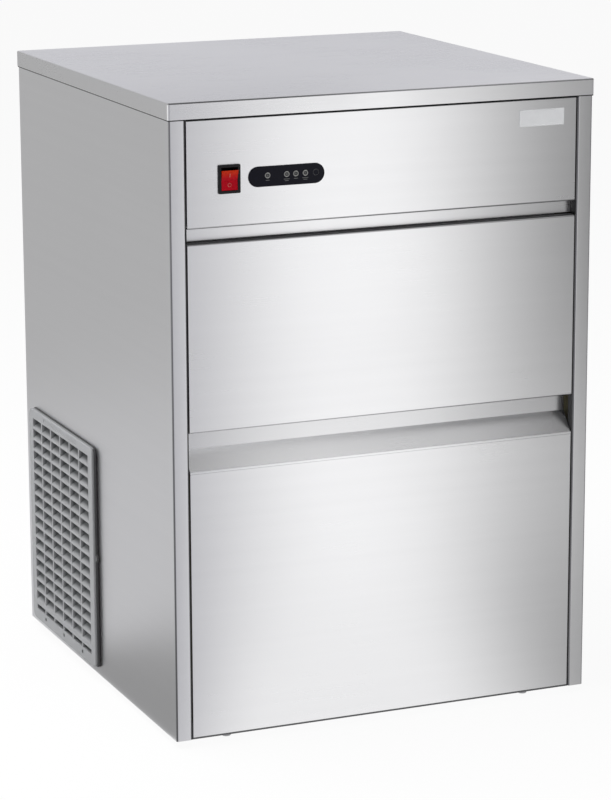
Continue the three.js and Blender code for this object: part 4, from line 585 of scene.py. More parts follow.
def on_points(tree, given, shape, points=None):
    """Places a shape on every point, of the start mesh if not told otherwise, and turns it by Turn."""
    turn = add(tree, "FunctionNodeEulerToRotation", {"Euler": given["Turn"]})
    placed = add(tree, "GeometryNodeInstanceOnPoints", {
        "Points": given["Start"] if points is None else points, "Instance": shape,
        "Rotation": turn.outputs[0],
    })
    return placed.outputs[0]


def joined(tree, *parts):
    """Makes one geometry of several."""
    both = add(tree, "GeometryNodeJoinGeometry")
    for part in parts:
        tree.links.new(part, both.inputs[0])
    return both.outputs[0]


# %% Growing a piece
def grow(name, start, material, steps, body, slot, *replaced):
    """Runs one or more trees on a start mesh, and keeps the result as a plain piece."""
    piece = linked(name, start)
    for tree, sizes in steps:
        step = piece.modifiers.new(tree.name, "NODES")
        step.node_group = tree
        for socket in tree.interface.items_tree:
            if socket.in_out == "INPUT" and socket.name in sizes:
                step[socket.identifier] = sizes[socket.name]
            elif socket.in_out == "INPUT" and socket.name == "Finish":
                step[socket.identifier] = material
    smooth(baked(piece))
    join_frame(piece, body, slot, *replaced)
    print(name, "faces:", len(piece.data.polygons))


def points_mesh(name, places, edges=()):
    mesh = bpy.data.meshes.new(name)
    mesh.from_pydata(places, edges, [])
    return mesh


FACING_FRONT, FACING_BACK = (math.radians(90), 0, 0), (math.radians(-90), 0, 0)


# %% A tree for screws
def screw_tree():
    tree, given, result = growth(
        "Screws along lines", head=(THING, None), turn=(VECTOR, None), pitch=(FLOAT, 0.1), seed=(WHOLE, 3),
    )
    line = add(tree, "GeometryNodeMeshToCurve", {"Mesh": given["Start"]})
    spaced = add(tree, "GeometryNodeResampleCurve", {"Curve": line.outputs[0], "Length": given["Pitch"]},
                 mode="LENGTH")
    head = add(tree, "GeometryNodeObjectInfo", {"Object": given["Head"]})
    placed = on_points(tree, given, head.outputs["Geometry"], spaced.outputs[0])
    any_turn = add(tree, "FunctionNodeRandomValue", {
        "Max": (0, 0, math.radians(90)), "Seed": given["Seed"],
    }, data_type="FLOAT_VECTOR")
    spin = add(tree, "FunctionNodeEulerToRotation", {"Euler": any_turn.outputs[0]})
    driven = add(tree, "GeometryNodeRotateInstances", {
        "Instances": placed, "Rotation": spin.outputs[0], "Local Space": True,
    })
    return close_tree(tree, driven.outputs[0], given, result)


# %% A tree for rows of bars
def row_tree():
    tree, given, result = growth(
        "Row of bars", first=(VECTOR, None), last=(VECTOR, None), count=(WHOLE, 10), size=(VECTOR, None),
    )
    line = add(tree, "GeometryNodeMeshLine", {
        "Count": given["Count"], "Start Location": given["First"], "Offset": given["Last"],
    }, mode="END_POINTS")
    bar = add(tree, "GeometryNodeMeshCube", {"Size": given["Size"]})
    bars = add(tree, "GeometryNodeInstanceOnPoints", {"Points": line.outputs[0], "Instance": bar.outputs[0]})
    real = add(tree, "GeometryNodeRealizeInstances", {"Geometry": bars.outputs[0]})
    return close_tree(tree, joined(tree, given["Start"], real.outputs[0]), given, result)


screws_along_lines, row_of_bars = screw_tree(), row_tree()
print("trees:", screws_along_lines.name, "and", row_of_bars.name)


# %% Trees for rings and domes
def ring_tree():
    tree, given, result = growth("Rings", radius=(FLOAT, 0.01), wire=(FLOAT, 0.001), turn=(VECTOR, None))
    path = add(tree, "GeometryNodeCurvePrimitiveCircle", {"Resolution": 32, "Radius": given["Radius"]})
    wire = add(tree, "GeometryNodeCurvePrimitiveCircle", {"Resolution": 12, "Radius": given["Wire"]})
    ring = add(tree, "GeometryNodeCurveToMesh", {"Curve": path.outputs[0], "Profile Curve": wire.outputs[0]})
    return close_tree(tree, on_points(tree, given, ring.outputs[0]), given, result)


def dome_tree():
    tree, given, result = growth("Domes", radius=(FLOAT, 0.01), rise=(FLOAT, 0.5), turn=(VECTOR, None))
    ball = add(tree, "GeometryNodeMeshUVSphere", {"Segments": 24, "Rings": 12, "Radius": given["Radius"]})
    flat = add(tree, "ShaderNodeCombineXYZ", {"X": 1.0, "Y": 1.0, "Z": given["Rise"]})
    dome = add(tree, "GeometryNodeTransform", {"Geometry": ball.outputs[0], "Scale": flat.outputs[0]})
    return close_tree(tree, on_points(tree, given, dome.outputs[0]), given, result)


# %% A tree for rounded plates
def plate_tree():
    tree, given, result = growth(
        "Rounded plates", width=(FLOAT, 0.01), height=(FLOAT, 0.005), corner=(FLOAT, 0.001),
        thickness=(FLOAT, 0.001), turn=(VECTOR, None),
    )
    outline = add(tree, "GeometryNodeCurvePrimitiveQuadrilateral", {
        "Width": given["Width"], "Height": given["Height"],
    })
    soft = add(tree, "GeometryNodeFilletCurve", {
        "Curve": outline.outputs[0], "Count": 4, "Radius": given["Corner"],
    }, mode="POLY")
    face = add(tree, "GeometryNodeFillCurve", {"Curve": soft.outputs[0]}, mode="NGONS")
    plate = add(tree, "GeometryNodeExtrudeMesh", {
        "Mesh": face.outputs[0], "Offset Scale": given["Thickness"], "Individual": False,
    })
    back = add(tree, "GeometryNodeFlipFaces", {"Mesh": face.outputs[0]})
    both = joined(tree, plate.outputs[0], back.outputs[0])
    closed = add(tree, "GeometryNodeMergeByDistance", {"Geometry": both, "Distance": SAME_POINT})
    return close_tree(tree, on_points(tree, given, closed.outputs[0]), given, result)


# %% Trees for threads and beads
def thread_tree():
    tree, given, result = growth(
        "Screw thread", radius=(FLOAT, 0.01), length=(FLOAT, 0.02), pitch=(FLOAT, 0.002),
        ridge=(FLOAT, 0.0005), turn=(VECTOR, None),
    )
    turns = add(tree, "ShaderNodeMath", {0: given["Length"], 1: given["Pitch"]}, operation="DIVIDE")
    helix = add(tree, "GeometryNodeCurveSpiral", {
        "Resolution": 24, "Rotations": turns.outputs[0], "Start Radius": given["Radius"],
        "End Radius": given["Radius"], "Height": given["Length"],
    })
    ridge = add(tree, "GeometryNodeCurvePrimitiveCircle", {"Resolution": 6, "Radius": given["Ridge"]})
    thread = add(tree, "GeometryNodeCurveToMesh", {
        "Curve": helix.outputs[0], "Profile Curve": ridge.outputs[0], "Fill Caps": True,
    })
    return close_tree(tree, on_points(tree, given, thread.outputs[0]), given, result)


def bead_tree():
    tree, given, result = growth("Bead along edges", thickness=(FLOAT, 0.001))
    path = add(tree, "GeometryNodeMeshToCurve", {"Mesh": given["Start"]})
    round_end = add(tree, "GeometryNodeCurvePrimitiveCircle", {
        "Resolution": 10, "Radius": given["Thickness"],
    })
    bead = add(tree, "GeometryNodeCurveToMesh", {
        "Curve": path.outputs[0], "Profile Curve": round_end.outputs[0],
    })
    return close_tree(tree, bead.outputs[0], given, result)


rings, domes, rounded_plates = ring_tree(), dome_tree(), plate_tree()
thread, bead_along_edges = thread_tree(), bead_tree()
print("trees:", [tree.name for tree in (rings, domes, rounded_plates, thread, bead_along_edges)])

# %% [markdown]
# ## The indicator window
# Four small lights sit behind the black window, each in a bright ring, with one or two short printed
# bars below it. Rings, lenses and bars each repeat one shape, so a tree puts it on every point of a
# list. The places follow the window's own width, and everything rests on its front face.

# %% Rings, lenses and print
window_low, window_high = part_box("indicator_window")
window_width = window_high.x - window_low.x
LIGHTS_ABOVE_MIDDLE = 1 * MM
light_height = (window_low.z + window_high.z) / 2 + LIGHTS_ABOVE_MIDDLE


def across_window(share):
    """The point on the window's face at a share of its width."""
    return window_low.x + share * window_width, window_low.y, light_height


LIGHT_SHARES, RING_SHARE = (0.25, 0.5, 0.62, 0.745), 0.885
light_places = [across_window(share) for share in LIGHT_SHARES]

ring_plate = plain_metal("Satin ring", (0.45, 0.45, 0.43), 0.3, 0.4)
smoked_lens = moulded("Smoked lens", (0.1, 0.1, 0.1), 0.15, grain_depth=0.001 * MM)
grey_print = moulded("Grey print", (0.12, 0.12, 0.12), 0.6, grain_depth=0.001 * MM)
on_window = ("cabinet", "window_black")
grow("light_rings", points_mesh("light_rings", light_places), ring_plate, [
    (rings, {"Radius": 2.6 * MM, "Wire": 0.6 * MM, "Turn": FACING_FRONT}),
], *on_window)
grow("light_lenses", points_mesh("light_lenses", light_places), smoked_lens, [
    (domes, {"Radius": 1.5 * MM, "Rise": 0.5, "Turn": FACING_FRONT}),
], *on_window)


def print_bars(name, places, width):
    grow(name, points_mesh(name, places), grey_print, [(rounded_plates, {
        "Width": width, "Height": 0.7 * MM, "Corner": 0.3 * MM, "Thickness": 0.05 * MM,
        "Turn": FACING_FRONT,
    })], *on_window)


def below(places, drop):
    return [(x, y, z - drop) for x, y, z in places]


FIRST_LINE, SECOND_LINE = 5.2 * MM, 6.9 * MM
even_lights, odd_lights = light_places[::2], light_places[1::2]
print("lights:", len(light_places), "at height", round(light_height, 4))
print_bars("print_long", below(odd_lights, FIRST_LINE), width=7 * MM)
print_bars("print_short", below(even_lights, FIRST_LINE) + below(odd_lights, SECOND_LINE), width=4.6 * MM)
grow("print_ring", points_mesh("print_ring", [across_window(RING_SHARE)]), grey_print, [
    (rings, {"Radius": 3.2 * MM, "Wire": 0.12 * MM, "Turn": FACING_FRONT}),
], *on_window)

# %% [markdown]
# ## The rocker's marks
# A rocker switch carries the usual I and O, moulded pale on its two tilted faces. A ray sent
# from the front finds each face and its slope, so the marks lie on it wherever the rocker rests.

# %% I and O on the rocker
rocker_low, rocker_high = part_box("power_rocker")
rocker_middle = (rocker_low.x + rocker_high.x) / 2
rocker_height = rocker_high.z - rocker_low.z
IN_FRONT, BACKWARDS = -1.0, Vector((0, 1, 0))
pale_mark = moulded("Pale mark", (0.6, 0.17, 0.14), 0.4, grain_depth=0.001 * MM)


def landing(piece, x, z):
    """Where a ray from the front meets a piece, and the turn that faces out of it there."""
    hit, place, normal = piece.ray_cast(Vector((x, IN_FRONT, z)), BACKWARDS)[:3]
    print(piece.name, "face found:", hit)
    return place, tuple(normal.to_track_quat("Z", "Y").to_euler())


def rocker_mark(name, share, tree, sizes):
    place, turn = landing(pieces["power_rocker"], rocker_middle, rocker_low.z + share * rocker_height)
    grow(name, points_mesh(name, [place]), pale_mark, [(tree, {**sizes, "Turn": turn})],
         "power_rocker", "rocker_red")


ON_SHARE, OFF_SHARE = 0.74, 0.26
rocker_mark("on_mark", ON_SHARE, rounded_plates, {
    "Width": 0.7 * MM, "Height": 4 * MM, "Corner": 0.2 * MM, "Thickness": 0.1 * MM,
})
rocker_mark("off_mark", OFF_SHARE, rings, {"Radius": 1.9 * MM, "Wire": 0.24 * MM})


# %% [markdown]
# ## The badge
# The badge is a blank pressed plate with a raised rim round a sunk field. It could be two boxes, but
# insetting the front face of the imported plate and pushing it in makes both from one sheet.

# %% A blank pressed badge
BADGE_RIM, BADGE_SINK, BADGE_EDGE = 1.1 * MM, 0.3 * MM, 0.12 * MM


def press_badge(shape):
    front = min(shape.faces, key=lambda face: face.calc_center_median().y)
    bmesh.ops.inset_region(shape, faces=[front], thickness=BADGE_RIM, depth=0)
    bmesh.ops.translate(shape, verts=front.verts, vec=(0, BADGE_SINK, 0))


badge = refined("badge_plate", BADGE_EDGE, press_badge)
print("badge faces:", len(badge.data.polygons))


# %% [markdown]
# ## Painted shade in the gaps at the front
# Dark lines part the panels: one under the lid's skirt all the way round, one above the door, one down
# each side of the front, and one under the lower panel. They are the shade in the gaps, painted with
# dark strips. A black bar paints the shade at each end of the rail above the door, and a short dark
# strip paints it in each corner of the base. None needs more than a thin bar with soft edges, so one
# function makes them all. A bright strip closes the joint where the grip strip meets the lower panel.

# %% A bar with soft edges
HAIR = 0.1 * MM
THIN_EDGE, STRIP_EDGE, DOOR_EDGE, LID_EDGE = 0.1 * MM, 0.15 * MM, 0.2 * MM, 0.3 * MM


def box_into(shape, low, high):
    """Adds a box between two corners to a bmesh."""
    low, high = Vector(low), Vector(high)
    place = Matrix.Translation((low + high) / 2) @ Matrix.Diagonal((*(high - low), 1))
    bmesh.ops.create_cube(shape, size=1, matrix=place)


def soft_bar(name, low, high, edge, material, body="cabinet", slot="rubber"):
    shape = bmesh.new()
    box_into(shape, low, high)
    piece = linked(name, as_mesh(shape, name), material)
    break_edges(piece, edge)
    join_frame(piece, body, slot)
    print(name, "mm:", [round((far - near) / MM, 2) for near, far in zip(low, high)])


# %% Painted shade under the lid and above the door
lid_low, lid_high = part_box("top_panel")
fascia_low, fascia_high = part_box("control_fascia")
LID_SHADE_SHOWS, LID_SHADE_HEIGHT, SHEET = 2.4 * MM, 8 * MM, 1 * MM
# A black strip under the lid's skirt paints the shade in the gap there.
soft_bar(
    "lid_seal", (fascia_low.x, lid_low.y + SHEET, lid_low.z - LID_SHADE_SHOWS),
    (fascia_high.x, fascia_low.y, lid_low.z + LID_SHADE_HEIGHT), LID_EDGE, black_rubber,
)

door_low, door_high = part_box("bin_door_skin")
SHADE_SETBACK, DOOR_SHADE_RISE = 1.5 * MM, 0.5 * MM
# A dark strip above the door paints the shade under the rail.
soft_bar(
    "door_top_seal", (door_low.x + SHEET, door_low.y + SHADE_SETBACK, door_high.z - HAIR),
    (door_high.x - SHEET, door_high.y, door_high.z + DOOR_SHADE_RISE), DOOR_EDGE, painted_shade_grey, "bin_door",
)

cabinet_low, cabinet_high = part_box("left_side_panel")[0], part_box("right_side_panel")[1]
JOINT_SHOWS, JOINT_DEPTH = 1.3 * MM, 0.5 * MM
joint_low, joint_high = lid_low.z - JOINT_SHOWS, lid_low.z + JOINT_SHOWS
# Thin black strips round the lid's lower edge paint the shade in the gap between lid and sides.
for name, low, high in (
    ("front", (cabinet_low.x - JOINT_DEPTH, cabinet_low.y - JOINT_DEPTH),
     (cabinet_high.x + JOINT_DEPTH, cabinet_low.y + JOINT_DEPTH)),
    ("left", (cabinet_low.x - JOINT_DEPTH, cabinet_low.y), (cabinet_low.x + JOINT_DEPTH, cabinet_high.y)),
    ("right", (cabinet_high.x - JOINT_DEPTH, cabinet_low.y), (cabinet_high.x + JOINT_DEPTH, cabinet_high.y)),
):
    soft_bar("lid_joint_" + name, (*low, joint_low), (*high, joint_high), THIN_EDGE, black_rubber)

# %% Strips of painted shade down the sides of the front
lower_low, lower_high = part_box("lower_front_panel")
pan_low, pan_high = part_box("base_pan")
FLANGE, STRIP_DEPTH = 18 * MM, 11 * MM
EDGE_STRIP, RAIL_END_SHADE, CORNER_STRIP = 0.7 * MM, 1.2 * MM, 1.7 * MM
strip_front, strip_back = cabinet_low.y + SHADE_SETBACK, cabinet_low.y + STRIP_DEPTH
# Dark strips paint the shade in the gaps down each side, at the rail's ends and in the base's corners.
for side, face_x, inward in (("left", cabinet_low.x + FLANGE, 1), ("right", cabinet_high.x - FLANGE, -1)):
    for name, width, low, high, edge, material in (
        ("_edge_strip", EDGE_STRIP, (strip_front, lower_low.z), (strip_back, lid_low.z),
         STRIP_EDGE, painted_shade_grey),
        ("_rail_plug", RAIL_END_SHADE, (strip_front - HAIR, door_high.z + DOOR_SHADE_RISE),
         (strip_back + SHEET, fascia_low.z), STRIP_EDGE, switch_black),
        ("_corner_strip", CORNER_STRIP, (strip_front, cabinet_low.z), (pan_low.y + HAIR, pan_high.z),
         THIN_EDGE, painted_shade_grey),
    ):
        across = sorted((face_x, face_x + inward * width))
        soft_bar(side + name, (across[0], *low), (across[1], *high), edge, material)

# %% Strips of the grip and the base
FOLD, JOINT_LIP, BASE_SETBACK, BASE_LAP = 1.6 * MM, 0.6 * MM, 0.4 * MM, 0.2 * MM
grip_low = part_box("finger_recess")[0]
soft_bar(
    "grip_joint", (lower_low.x, lower_low.y - HAIR / 2, lower_high.z - FOLD),
    (lower_high.x, lower_low.y + FOLD, grip_low.z + JOINT_LIP), THIN_EDGE, front_steel, slot="steel",
)
# A dark strip paints the shade in the gap under the lower panel.
soft_bar(
    "base_strip", (lower_low.x, lower_low.y + BASE_SETBACK, pan_low.z),
    (lower_high.x, pan_low.y + BASE_SETBACK, lower_low.z + BASE_LAP), THIN_EDGE, base_shade_grey,
)


# %% [markdown]
# ## Screws on the back
# The rear flanges and the lid are held by pan head screws. The head is one small mesh with a cross
# recess. A tree drops a copy of it at an even pitch along each line, each turned by chance, as a
# hand leaves them. The seed is fixed, so it is the same chance every time.

# %% A pan head with a cross recess
def pan_head(radius, height, recess):
    shape = bmesh.new()
    sides = 24
    profile = ((1.0, 0.0), (1.0, 0.35), (0.9, 0.75), (0.66, 1.0))
    loops = []
    for reach, rise in profile:
        loops.append([shape.verts.new((
            reach * radius * math.cos(math.tau * step / sides),
            reach * radius * math.sin(math.tau * step / sides),
            rise * height,
        )) for step in range(sides)])
    for lower, upper in zip(loops, loops[1:]):
        for step in range(sides):
            after = (step + 1) % sides
            shape.faces.new((lower[step], lower[after], upper[after], upper[step]))
    shape.faces.new(list(reversed(loops[0])))
    arm, half, taper = 0.5 * radius, 0.13 * radius, 0.7
    corner = ((arm, -half), (arm, half), (half, half))
    cross = [(x * math.cos(turn) - y * math.sin(turn), x * math.sin(turn) + y * math.cos(turn))
             for turn in (math.radians(90) * quarter for quarter in range(4)) for x, y in corner]
    rim = [shape.verts.new((x, y, height)) for x, y in cross]
    floor = [shape.verts.new((x * taper, y * taper, height - recess)) for x, y in cross]
    for step in range(len(cross)):
        after = (step + 1) % len(cross)
        shape.faces.new((rim[step], rim[after], floor[after], floor[step]))
    shape.faces.new(floor)
    edge_of = [shape.edges.get((loop[step], loop[(step + 1) % len(loop)]))
               for loop in (loops[-1], rim) for step in range(len(loop))]
    bmesh.ops.triangle_fill(shape, use_beauty=True, edges=edge_of)
    bmesh.ops.recalc_face_normals(shape, faces=shape.faces)
    return linked("screw_head", as_mesh(shape, "screw_head"), turned_steel)


# %% Rows of screws
back_low, back_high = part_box("back_panel")
side_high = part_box("left_side_panel")[1]
ROW_START, ROW_END, PAN_LIP, PAN_MARGIN, SCREW_PITCH = 26 * MM, 30 * MM, 8 * MM, 60 * MM, 150 * MM
left_row, right_row = cabinet_low.x + FLANGE / 2, cabinet_high.x - FLANGE / 2
low_row, high_row = back_low.z + ROW_START, lid_low.z - ROW_END
lid_row = (lid_low.z + lid_high.z) / 2
pan_row = back_low.z + PAN_LIP
lines = [
    ((left_row, side_high.y, low_row), (left_row, side_high.y, high_row)),
    ((right_row, side_high.y, low_row), (right_row, side_high.y, high_row)),
    ((left_row, lid_high.y, lid_row), (right_row, lid_high.y, lid_row)),
    ((left_row + PAN_MARGIN, back_high.y, pan_row), (right_row - PAN_MARGIN, back_high.y, pan_row)),
]
ends = [end for line in lines for end in line]
head = pan_head(radius=3.6 * MM, height=2.2 * MM, recess=1.4 * MM)
grow("back_screws", points_mesh("back_screws", ends, [(i, i + 1) for i in range(0, len(ends), 2)]),
     turned_steel, [(screws_along_lines, {"Head": head, "Turn": FACING_BACK, "Pitch": SCREW_PITCH})],
     "cabinet", "pin_steel")
bpy.data.objects.remove(head)

# %% [markdown]
# ## Condenser fins and filter mesh
# Behind the grille lies a wire filter, and behind that the condenser: two end plates with thin fins
# between them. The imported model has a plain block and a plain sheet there. Both are rows of bars, so
# one tree makes them: the fins in one pass, the mesh in two passes at right angles.

# %% End plates and fins
core_low, core_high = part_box("condenser_core")
PLATE, FIN, FIN_PITCH, FOOT_DEPTH = 2 * MM, 0.3 * MM, 2.4 * MM, 14 * MM
ends_shape = bmesh.new()
for plate_y, inward in ((core_low.y, 1), (core_high.y - PLATE, -1)):
    box_into(ends_shape, (core_low.x, plate_y, core_low.z), (core_high.x, plate_y + PLATE, core_high.z))
    foot = sorted((plate_y + (PLATE if inward > 0 else 0), plate_y + inward * FOOT_DEPTH))
    box_into(ends_shape, (core_low.x, foot[0], core_low.z), (core_high.x, foot[1], core_low.z + PLATE))
fin_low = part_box("fan_shroud")[0].z
fin_middle = ((core_low.x + core_high.x) / 2, (fin_low + core_high.z) / 2)
first_fin, last_fin = core_low.y + PLATE + FIN_PITCH, core_high.y - PLATE - FIN_PITCH
grow("condenser_shape", as_mesh(ends_shape, "condenser_shape"), fin_stock, [(row_of_bars, {
    "First": (fin_middle[0], first_fin, fin_middle[1]), "Last": (fin_middle[0], last_fin, fin_middle[1]),
    "Count": round((last_fin - first_fin) / FIN_PITCH),
    "Size": (core_high.x - core_low.x, FIN, core_high.z - fin_low),
})], "cabinet", "aluminium", "condenser_core")

# %% Filter rim and wires
filter_low, filter_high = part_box("air_filter")
RIM, WIRE, WIRE_PITCH = 5 * MM, 0.5 * MM, 2.6 * MM
filter_shape = bmesh.new()
for low, high in (
    (filter_low, (filter_high.x, filter_high.y, filter_low.z + RIM)),
    ((filter_low.x, filter_low.y, filter_high.z - RIM), filter_high),
    ((filter_low.x, filter_low.y, filter_low.z + RIM),
     (filter_high.x, filter_low.y + RIM, filter_high.z - RIM)),
    ((filter_low.x, filter_high.y - RIM, filter_low.z + RIM),
     (filter_high.x, filter_high.y, filter_high.z - RIM)),
):
    box_into(filter_shape, low, high)
filter_x = (filter_low.x + filter_high.x) / 2
filter_y = (filter_low.y + filter_high.y) / 2
filter_z = (filter_low.z + filter_high.z) / 2
filter_width, filter_height = filter_high.y - filter_low.y, filter_high.z - filter_low.z
grow("air_filter_shape", as_mesh(filter_shape, "air_filter_shape"), filter_grey, [
    (row_of_bars, {
        "First": (filter_x, filter_low.y + RIM, filter_z), "Last": (filter_x, filter_high.y - RIM, filter_z),
        "Count": round(filter_width / WIRE_PITCH), "Size": (WIRE, WIRE, filter_height - RIM),
    }),
    (row_of_bars, {
        "First": (filter_x, filter_y, filter_low.z + RIM), "Last": (filter_x, filter_y, filter_high.z - RIM),
        "Count": round(filter_height / WIRE_PITCH), "Size": (WIRE, filter_width - RIM, WIRE),
    }),
], "cabinet", "filter_mesh", "air_filter")

# %% [markdown]
# ## Threads
# The water valve's spout and the four feet are threaded. A thread is a helix, and a tree with a
# spiral curve and a small profile makes one from a radius, a length and a pitch.

# %% Valve and foot threads
def rear_rim(node):
    """The middle and the radius of the ring of points at a part's rear end."""
    places = [nodes[node].matrix_world @ vert.co for vert in nodes[node].data.vertices]
    rear = max(place.y for place in places)
    rim = [place for place in places if place.y > rear - HAIR]
    left, right = min(place.x for place in rim), max(place.x for place in rim)
    low, high = min(place.z for place in rim), max(place.z for place in rim)
    return Vector(((left + right) / 2, rear, (low + high) / 2)), (right - left) / 2


spout, spout_radius = rear_rim("water_inlet_valve")
print("spout:", spout, "radius:", spout_radius)
SPOUT_THREAD, PLAIN_END, SOLE = 12 * MM, 1 * MM, 7 * MM
grow("water_inlet_valve_thread",
     points_mesh("water_inlet_valve_thread", [(spout.x, spout.y - SPOUT_THREAD - PLAIN_END, spout.z)]),
     finish("water_inlet_valve"), [(thread, {
         "Radius": spout_radius, "Length": SPOUT_THREAD, "Pitch": 1.8 * MM, "Ridge": 0.5 * MM,
         "Turn": FACING_BACK,
     })], "cabinet", slot_of["water_inlet_valve"])
for node in in_slot["foot"]:
    foot_low, foot_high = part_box(node)
    place = ((foot_low.x + foot_high.x) / 2, (foot_low.y + foot_high.y) / 2, foot_low.z + SOLE)
    grow(node + "_thread", points_mesh(node + "_thread", [place]), turned_steel, [(thread, {
        "Radius": 3.9 * MM, "Length": foot_high.z - place[2] - PLAIN_END, "Pitch": 1.25 * MM,
        "Ridge": 0.35 * MM, "Turn": (0, 0, 0),
    })], body_of[node], "foot")

# %% [markdown]
# ## The compressor's weld and the painted shade round the grille
# The compressor's shell is two pressed cups, welded round the middle. Cutting the imported shell with a
# level plane gives the line, and a bead follows it. A dark bead round the grille's frame paints the shade
# in the gap under the frame: there the plane is upright, and the lines round the cells inside are
# dropped. The shade is widest in front, so a second, thicker bead keeps the front line only.

# %% Weld bead and painted shade round the grille
def section_line(node, place, normal):
    """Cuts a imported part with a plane, and keeps only the lines of the cut."""
    shape = merged(node)
    cut = bmesh.ops.bisect_plane(
        shape, geom=[*shape.verts, *shape.edges, *shape.faces], plane_co=place, plane_no=normal,
    )["geom_cut"]
    on_line = {vert for vert in cut if isinstance(vert, bmesh.types.BMVert)}
    off_line = [vert for vert in shape.verts if vert not in on_line]
    bmesh.ops.delete(shape, geom=off_line, context="VERTS")
    bmesh.ops.delete(shape, geom=shape.faces[:], context="FACES_ONLY")
    return shape


compressor_low, compressor_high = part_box("compressor")
WELD_SHARE = 0.55
weld_height = compressor_low.z + WELD_SHARE * (compressor_high.z - compressor_low.z)
weld_shape = section_line("compressor", (0, 0, weld_height), (0, 0, 1))
grow("compressor_weld", as_mesh(weld_shape, "compressor_weld"), black_enamel,
     [(bead_along_edges, {"Thickness": 1.4 * MM})], "cabinet", "black_paint")

grille_low, grille_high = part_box("side_grille")
FRAME_WIDTH, FRONT_REACH = 9 * MM, 8 * MM


def paint_grille_shade(name, thickness, dropped):
    """A dark bead of painted shade round the grille's frame, without the points of the cut that are dropped.
    """
    shape = section_line("side_grille", (cabinet_low.x - thickness, 0, 0), (1, 0, 0))
    bmesh.ops.delete(shape, geom=[vert for vert in shape.verts if dropped(vert.co)], context="VERTS")
    grow(name, as_mesh(shape, name), painted_shade_grey, [(bead_along_edges, {"Thickness": thickness})],
         "cabinet", "rubber")


def inside_frame(place):
    return (grille_low.y + FRAME_WIDTH < place.y < grille_high.y - FRAME_WIDTH
            and grille_low.z + FRAME_WIDTH < place.z < grille_high.z - FRAME_WIDTH)


def behind_front(place):
    return place.y > grille_low.y + FRONT_REACH


paint_grille_shade("grille_gasket", 0.8 * MM, inside_frame)
paint_grille_shade("grille_front_gasket", 1.7 * MM, behind_front)

# %% [markdown]
# ## The grille's lower edge
# A row of slots runs under the louvres, with three small holes below it. Both are black with shade.
# A dark bar behind the slots, and a small dark plate sunk in each hole, paint that shade. They do it
# better than a deep hole would, because the light of the room can't reach past them.

# %% Painted shade in the slots and holes
NUB_REACH, FRONT_MARGIN, REAR_MARGIN, COLUMNS = 3.5 * MM, 11 * MM, 14 * MM, 6
louvre_front = grille_low.y + NUB_REACH + FRONT_MARGIN
louvre_rear = grille_high.y - NUB_REACH - REAR_MARGIN
column = (louvre_rear - louvre_front) / COLUMNS
SLOT_SHADE_FRONT, SLOT_SHADE_REAR, SLOT_SHADE_LOW, SLOT_SHADE_HIGH = 1 * MM, 2 * MM, 13 * MM, 20 * MM
soft_bar(
    "slot_backing", (cabinet_low.x - SLOT_SHADE_FRONT, louvre_front, grille_low.z + SLOT_SHADE_LOW),
    (cabinet_low.x + SLOT_SHADE_REAR, louvre_rear, grille_low.z + SLOT_SHADE_HIGH), THIN_EDGE, black_rubber,
)
HOLE_SHADE_SINK, HOLE_SHADE_HEIGHT, FACING_LEFT = 0.9 * MM, 7.8 * MM, (0, math.radians(-90), 0)
hole_shade_places = [
    (grille_low.x + HOLE_SHADE_SINK, louvre_front + step * column, grille_low.z + HOLE_SHADE_HEIGHT)
    for step in range(1, COLUMNS, 2)
]
grow("grille_clips", points_mesh("grille_clips", hole_shade_places), part_black, [(rounded_plates, {
    "Width": 4 * MM, "Height": 4.8 * MM, "Corner": 0.3 * MM, "Thickness": 0.5 * MM, "Turn": FACING_LEFT,
})], "cabinet", "black_plastic")

# %% [markdown]
# ## The studio
# The machine stands on a plain pale floor in a white room. Steel shows what is around it, so the
# room matters as much as the metal: broad grey cloths hang beyond the lamps, where only reflections
# see them, and give each panel its slow change from light to dark.

# %% Trees of the studio
FLOOR_HALF, FLOOR_GLOW = 30.0, 0.93


def empty_tree(owner):
    """Clears the tree of a material or a world."""
    owner.use_nodes = True
    owner.node_tree.nodes.clear()
    return owner.node_tree


def seen_straight(tree):
    """Is 1 for rays from the camera, off metal and through glass, and 0 for the light that falls."""
    seen = add(tree, "ShaderNodeLightPath").outputs
    direct = add(tree, "ShaderNodeMath", {0: seen["Is Camera Ray"], 1: seen["Is Glossy Ray"]},
                 operation="ADD")
    through = add(tree, "ShaderNodeMath", {0: direct.outputs[0], 1: seen["Is Transmission Ray"]},
                  operation="ADD", use_clamp=True)
    return through.outputs[0]


# %% Floor
def pale_floor():
    mesh = bpy.data.meshes.new("floor")
    corners = [(x * FLOOR_HALF, y * FLOOR_HALF, 0) for x, y in ((-1, -1), (1, -1), (1, 1), (-1, 1))]
    mesh.from_pydata(corners, [], [(0, 1, 2, 3)])
    material = bpy.data.materials.new("Pale floor")
    tree = empty_tree(material)
    share = add(tree, "ShaderNodeMath", {0: seen_straight(tree), 1: FLOOR_GLOW}, operation="MULTIPLY")
    matt = add(tree, "ShaderNodeBsdfDiffuse", {"Color": (0.86, 0.86, 0.86, 1)})
    glow = add(tree, "ShaderNodeEmission", {"Color": (1, 1, 1, 1), "Strength": 1.0})
    mix = add(tree, "ShaderNodeMixShader", {0: share.outputs[0], 1: matt.outputs[0], 2: glow.outputs[0]})
    add(tree, "ShaderNodeOutputMaterial", {"Surface": mix.outputs[0]})
    return linked("floor", mesh, material)


pale_floor()
print("floor:", 2 * FLOOR_HALF, "m wide")


# %% Room and lamps
def white_room(daylight):
    world = bpy.data.worlds.new("White room")
    bpy.context.scene.world = world
    tree = empty_tree(world)
    level = add(tree, "ShaderNodeMapRange", {"Value": seen_straight(tree), "To Min": daylight, "To Max": 1.0})
    back = add(tree, "ShaderNodeBackground", {"Color": (1, 1, 1, 1), "Strength": level.outputs[0]})
    add(tree, "ShaderNodeOutputWorld", {"Surface": back.outputs[0]})


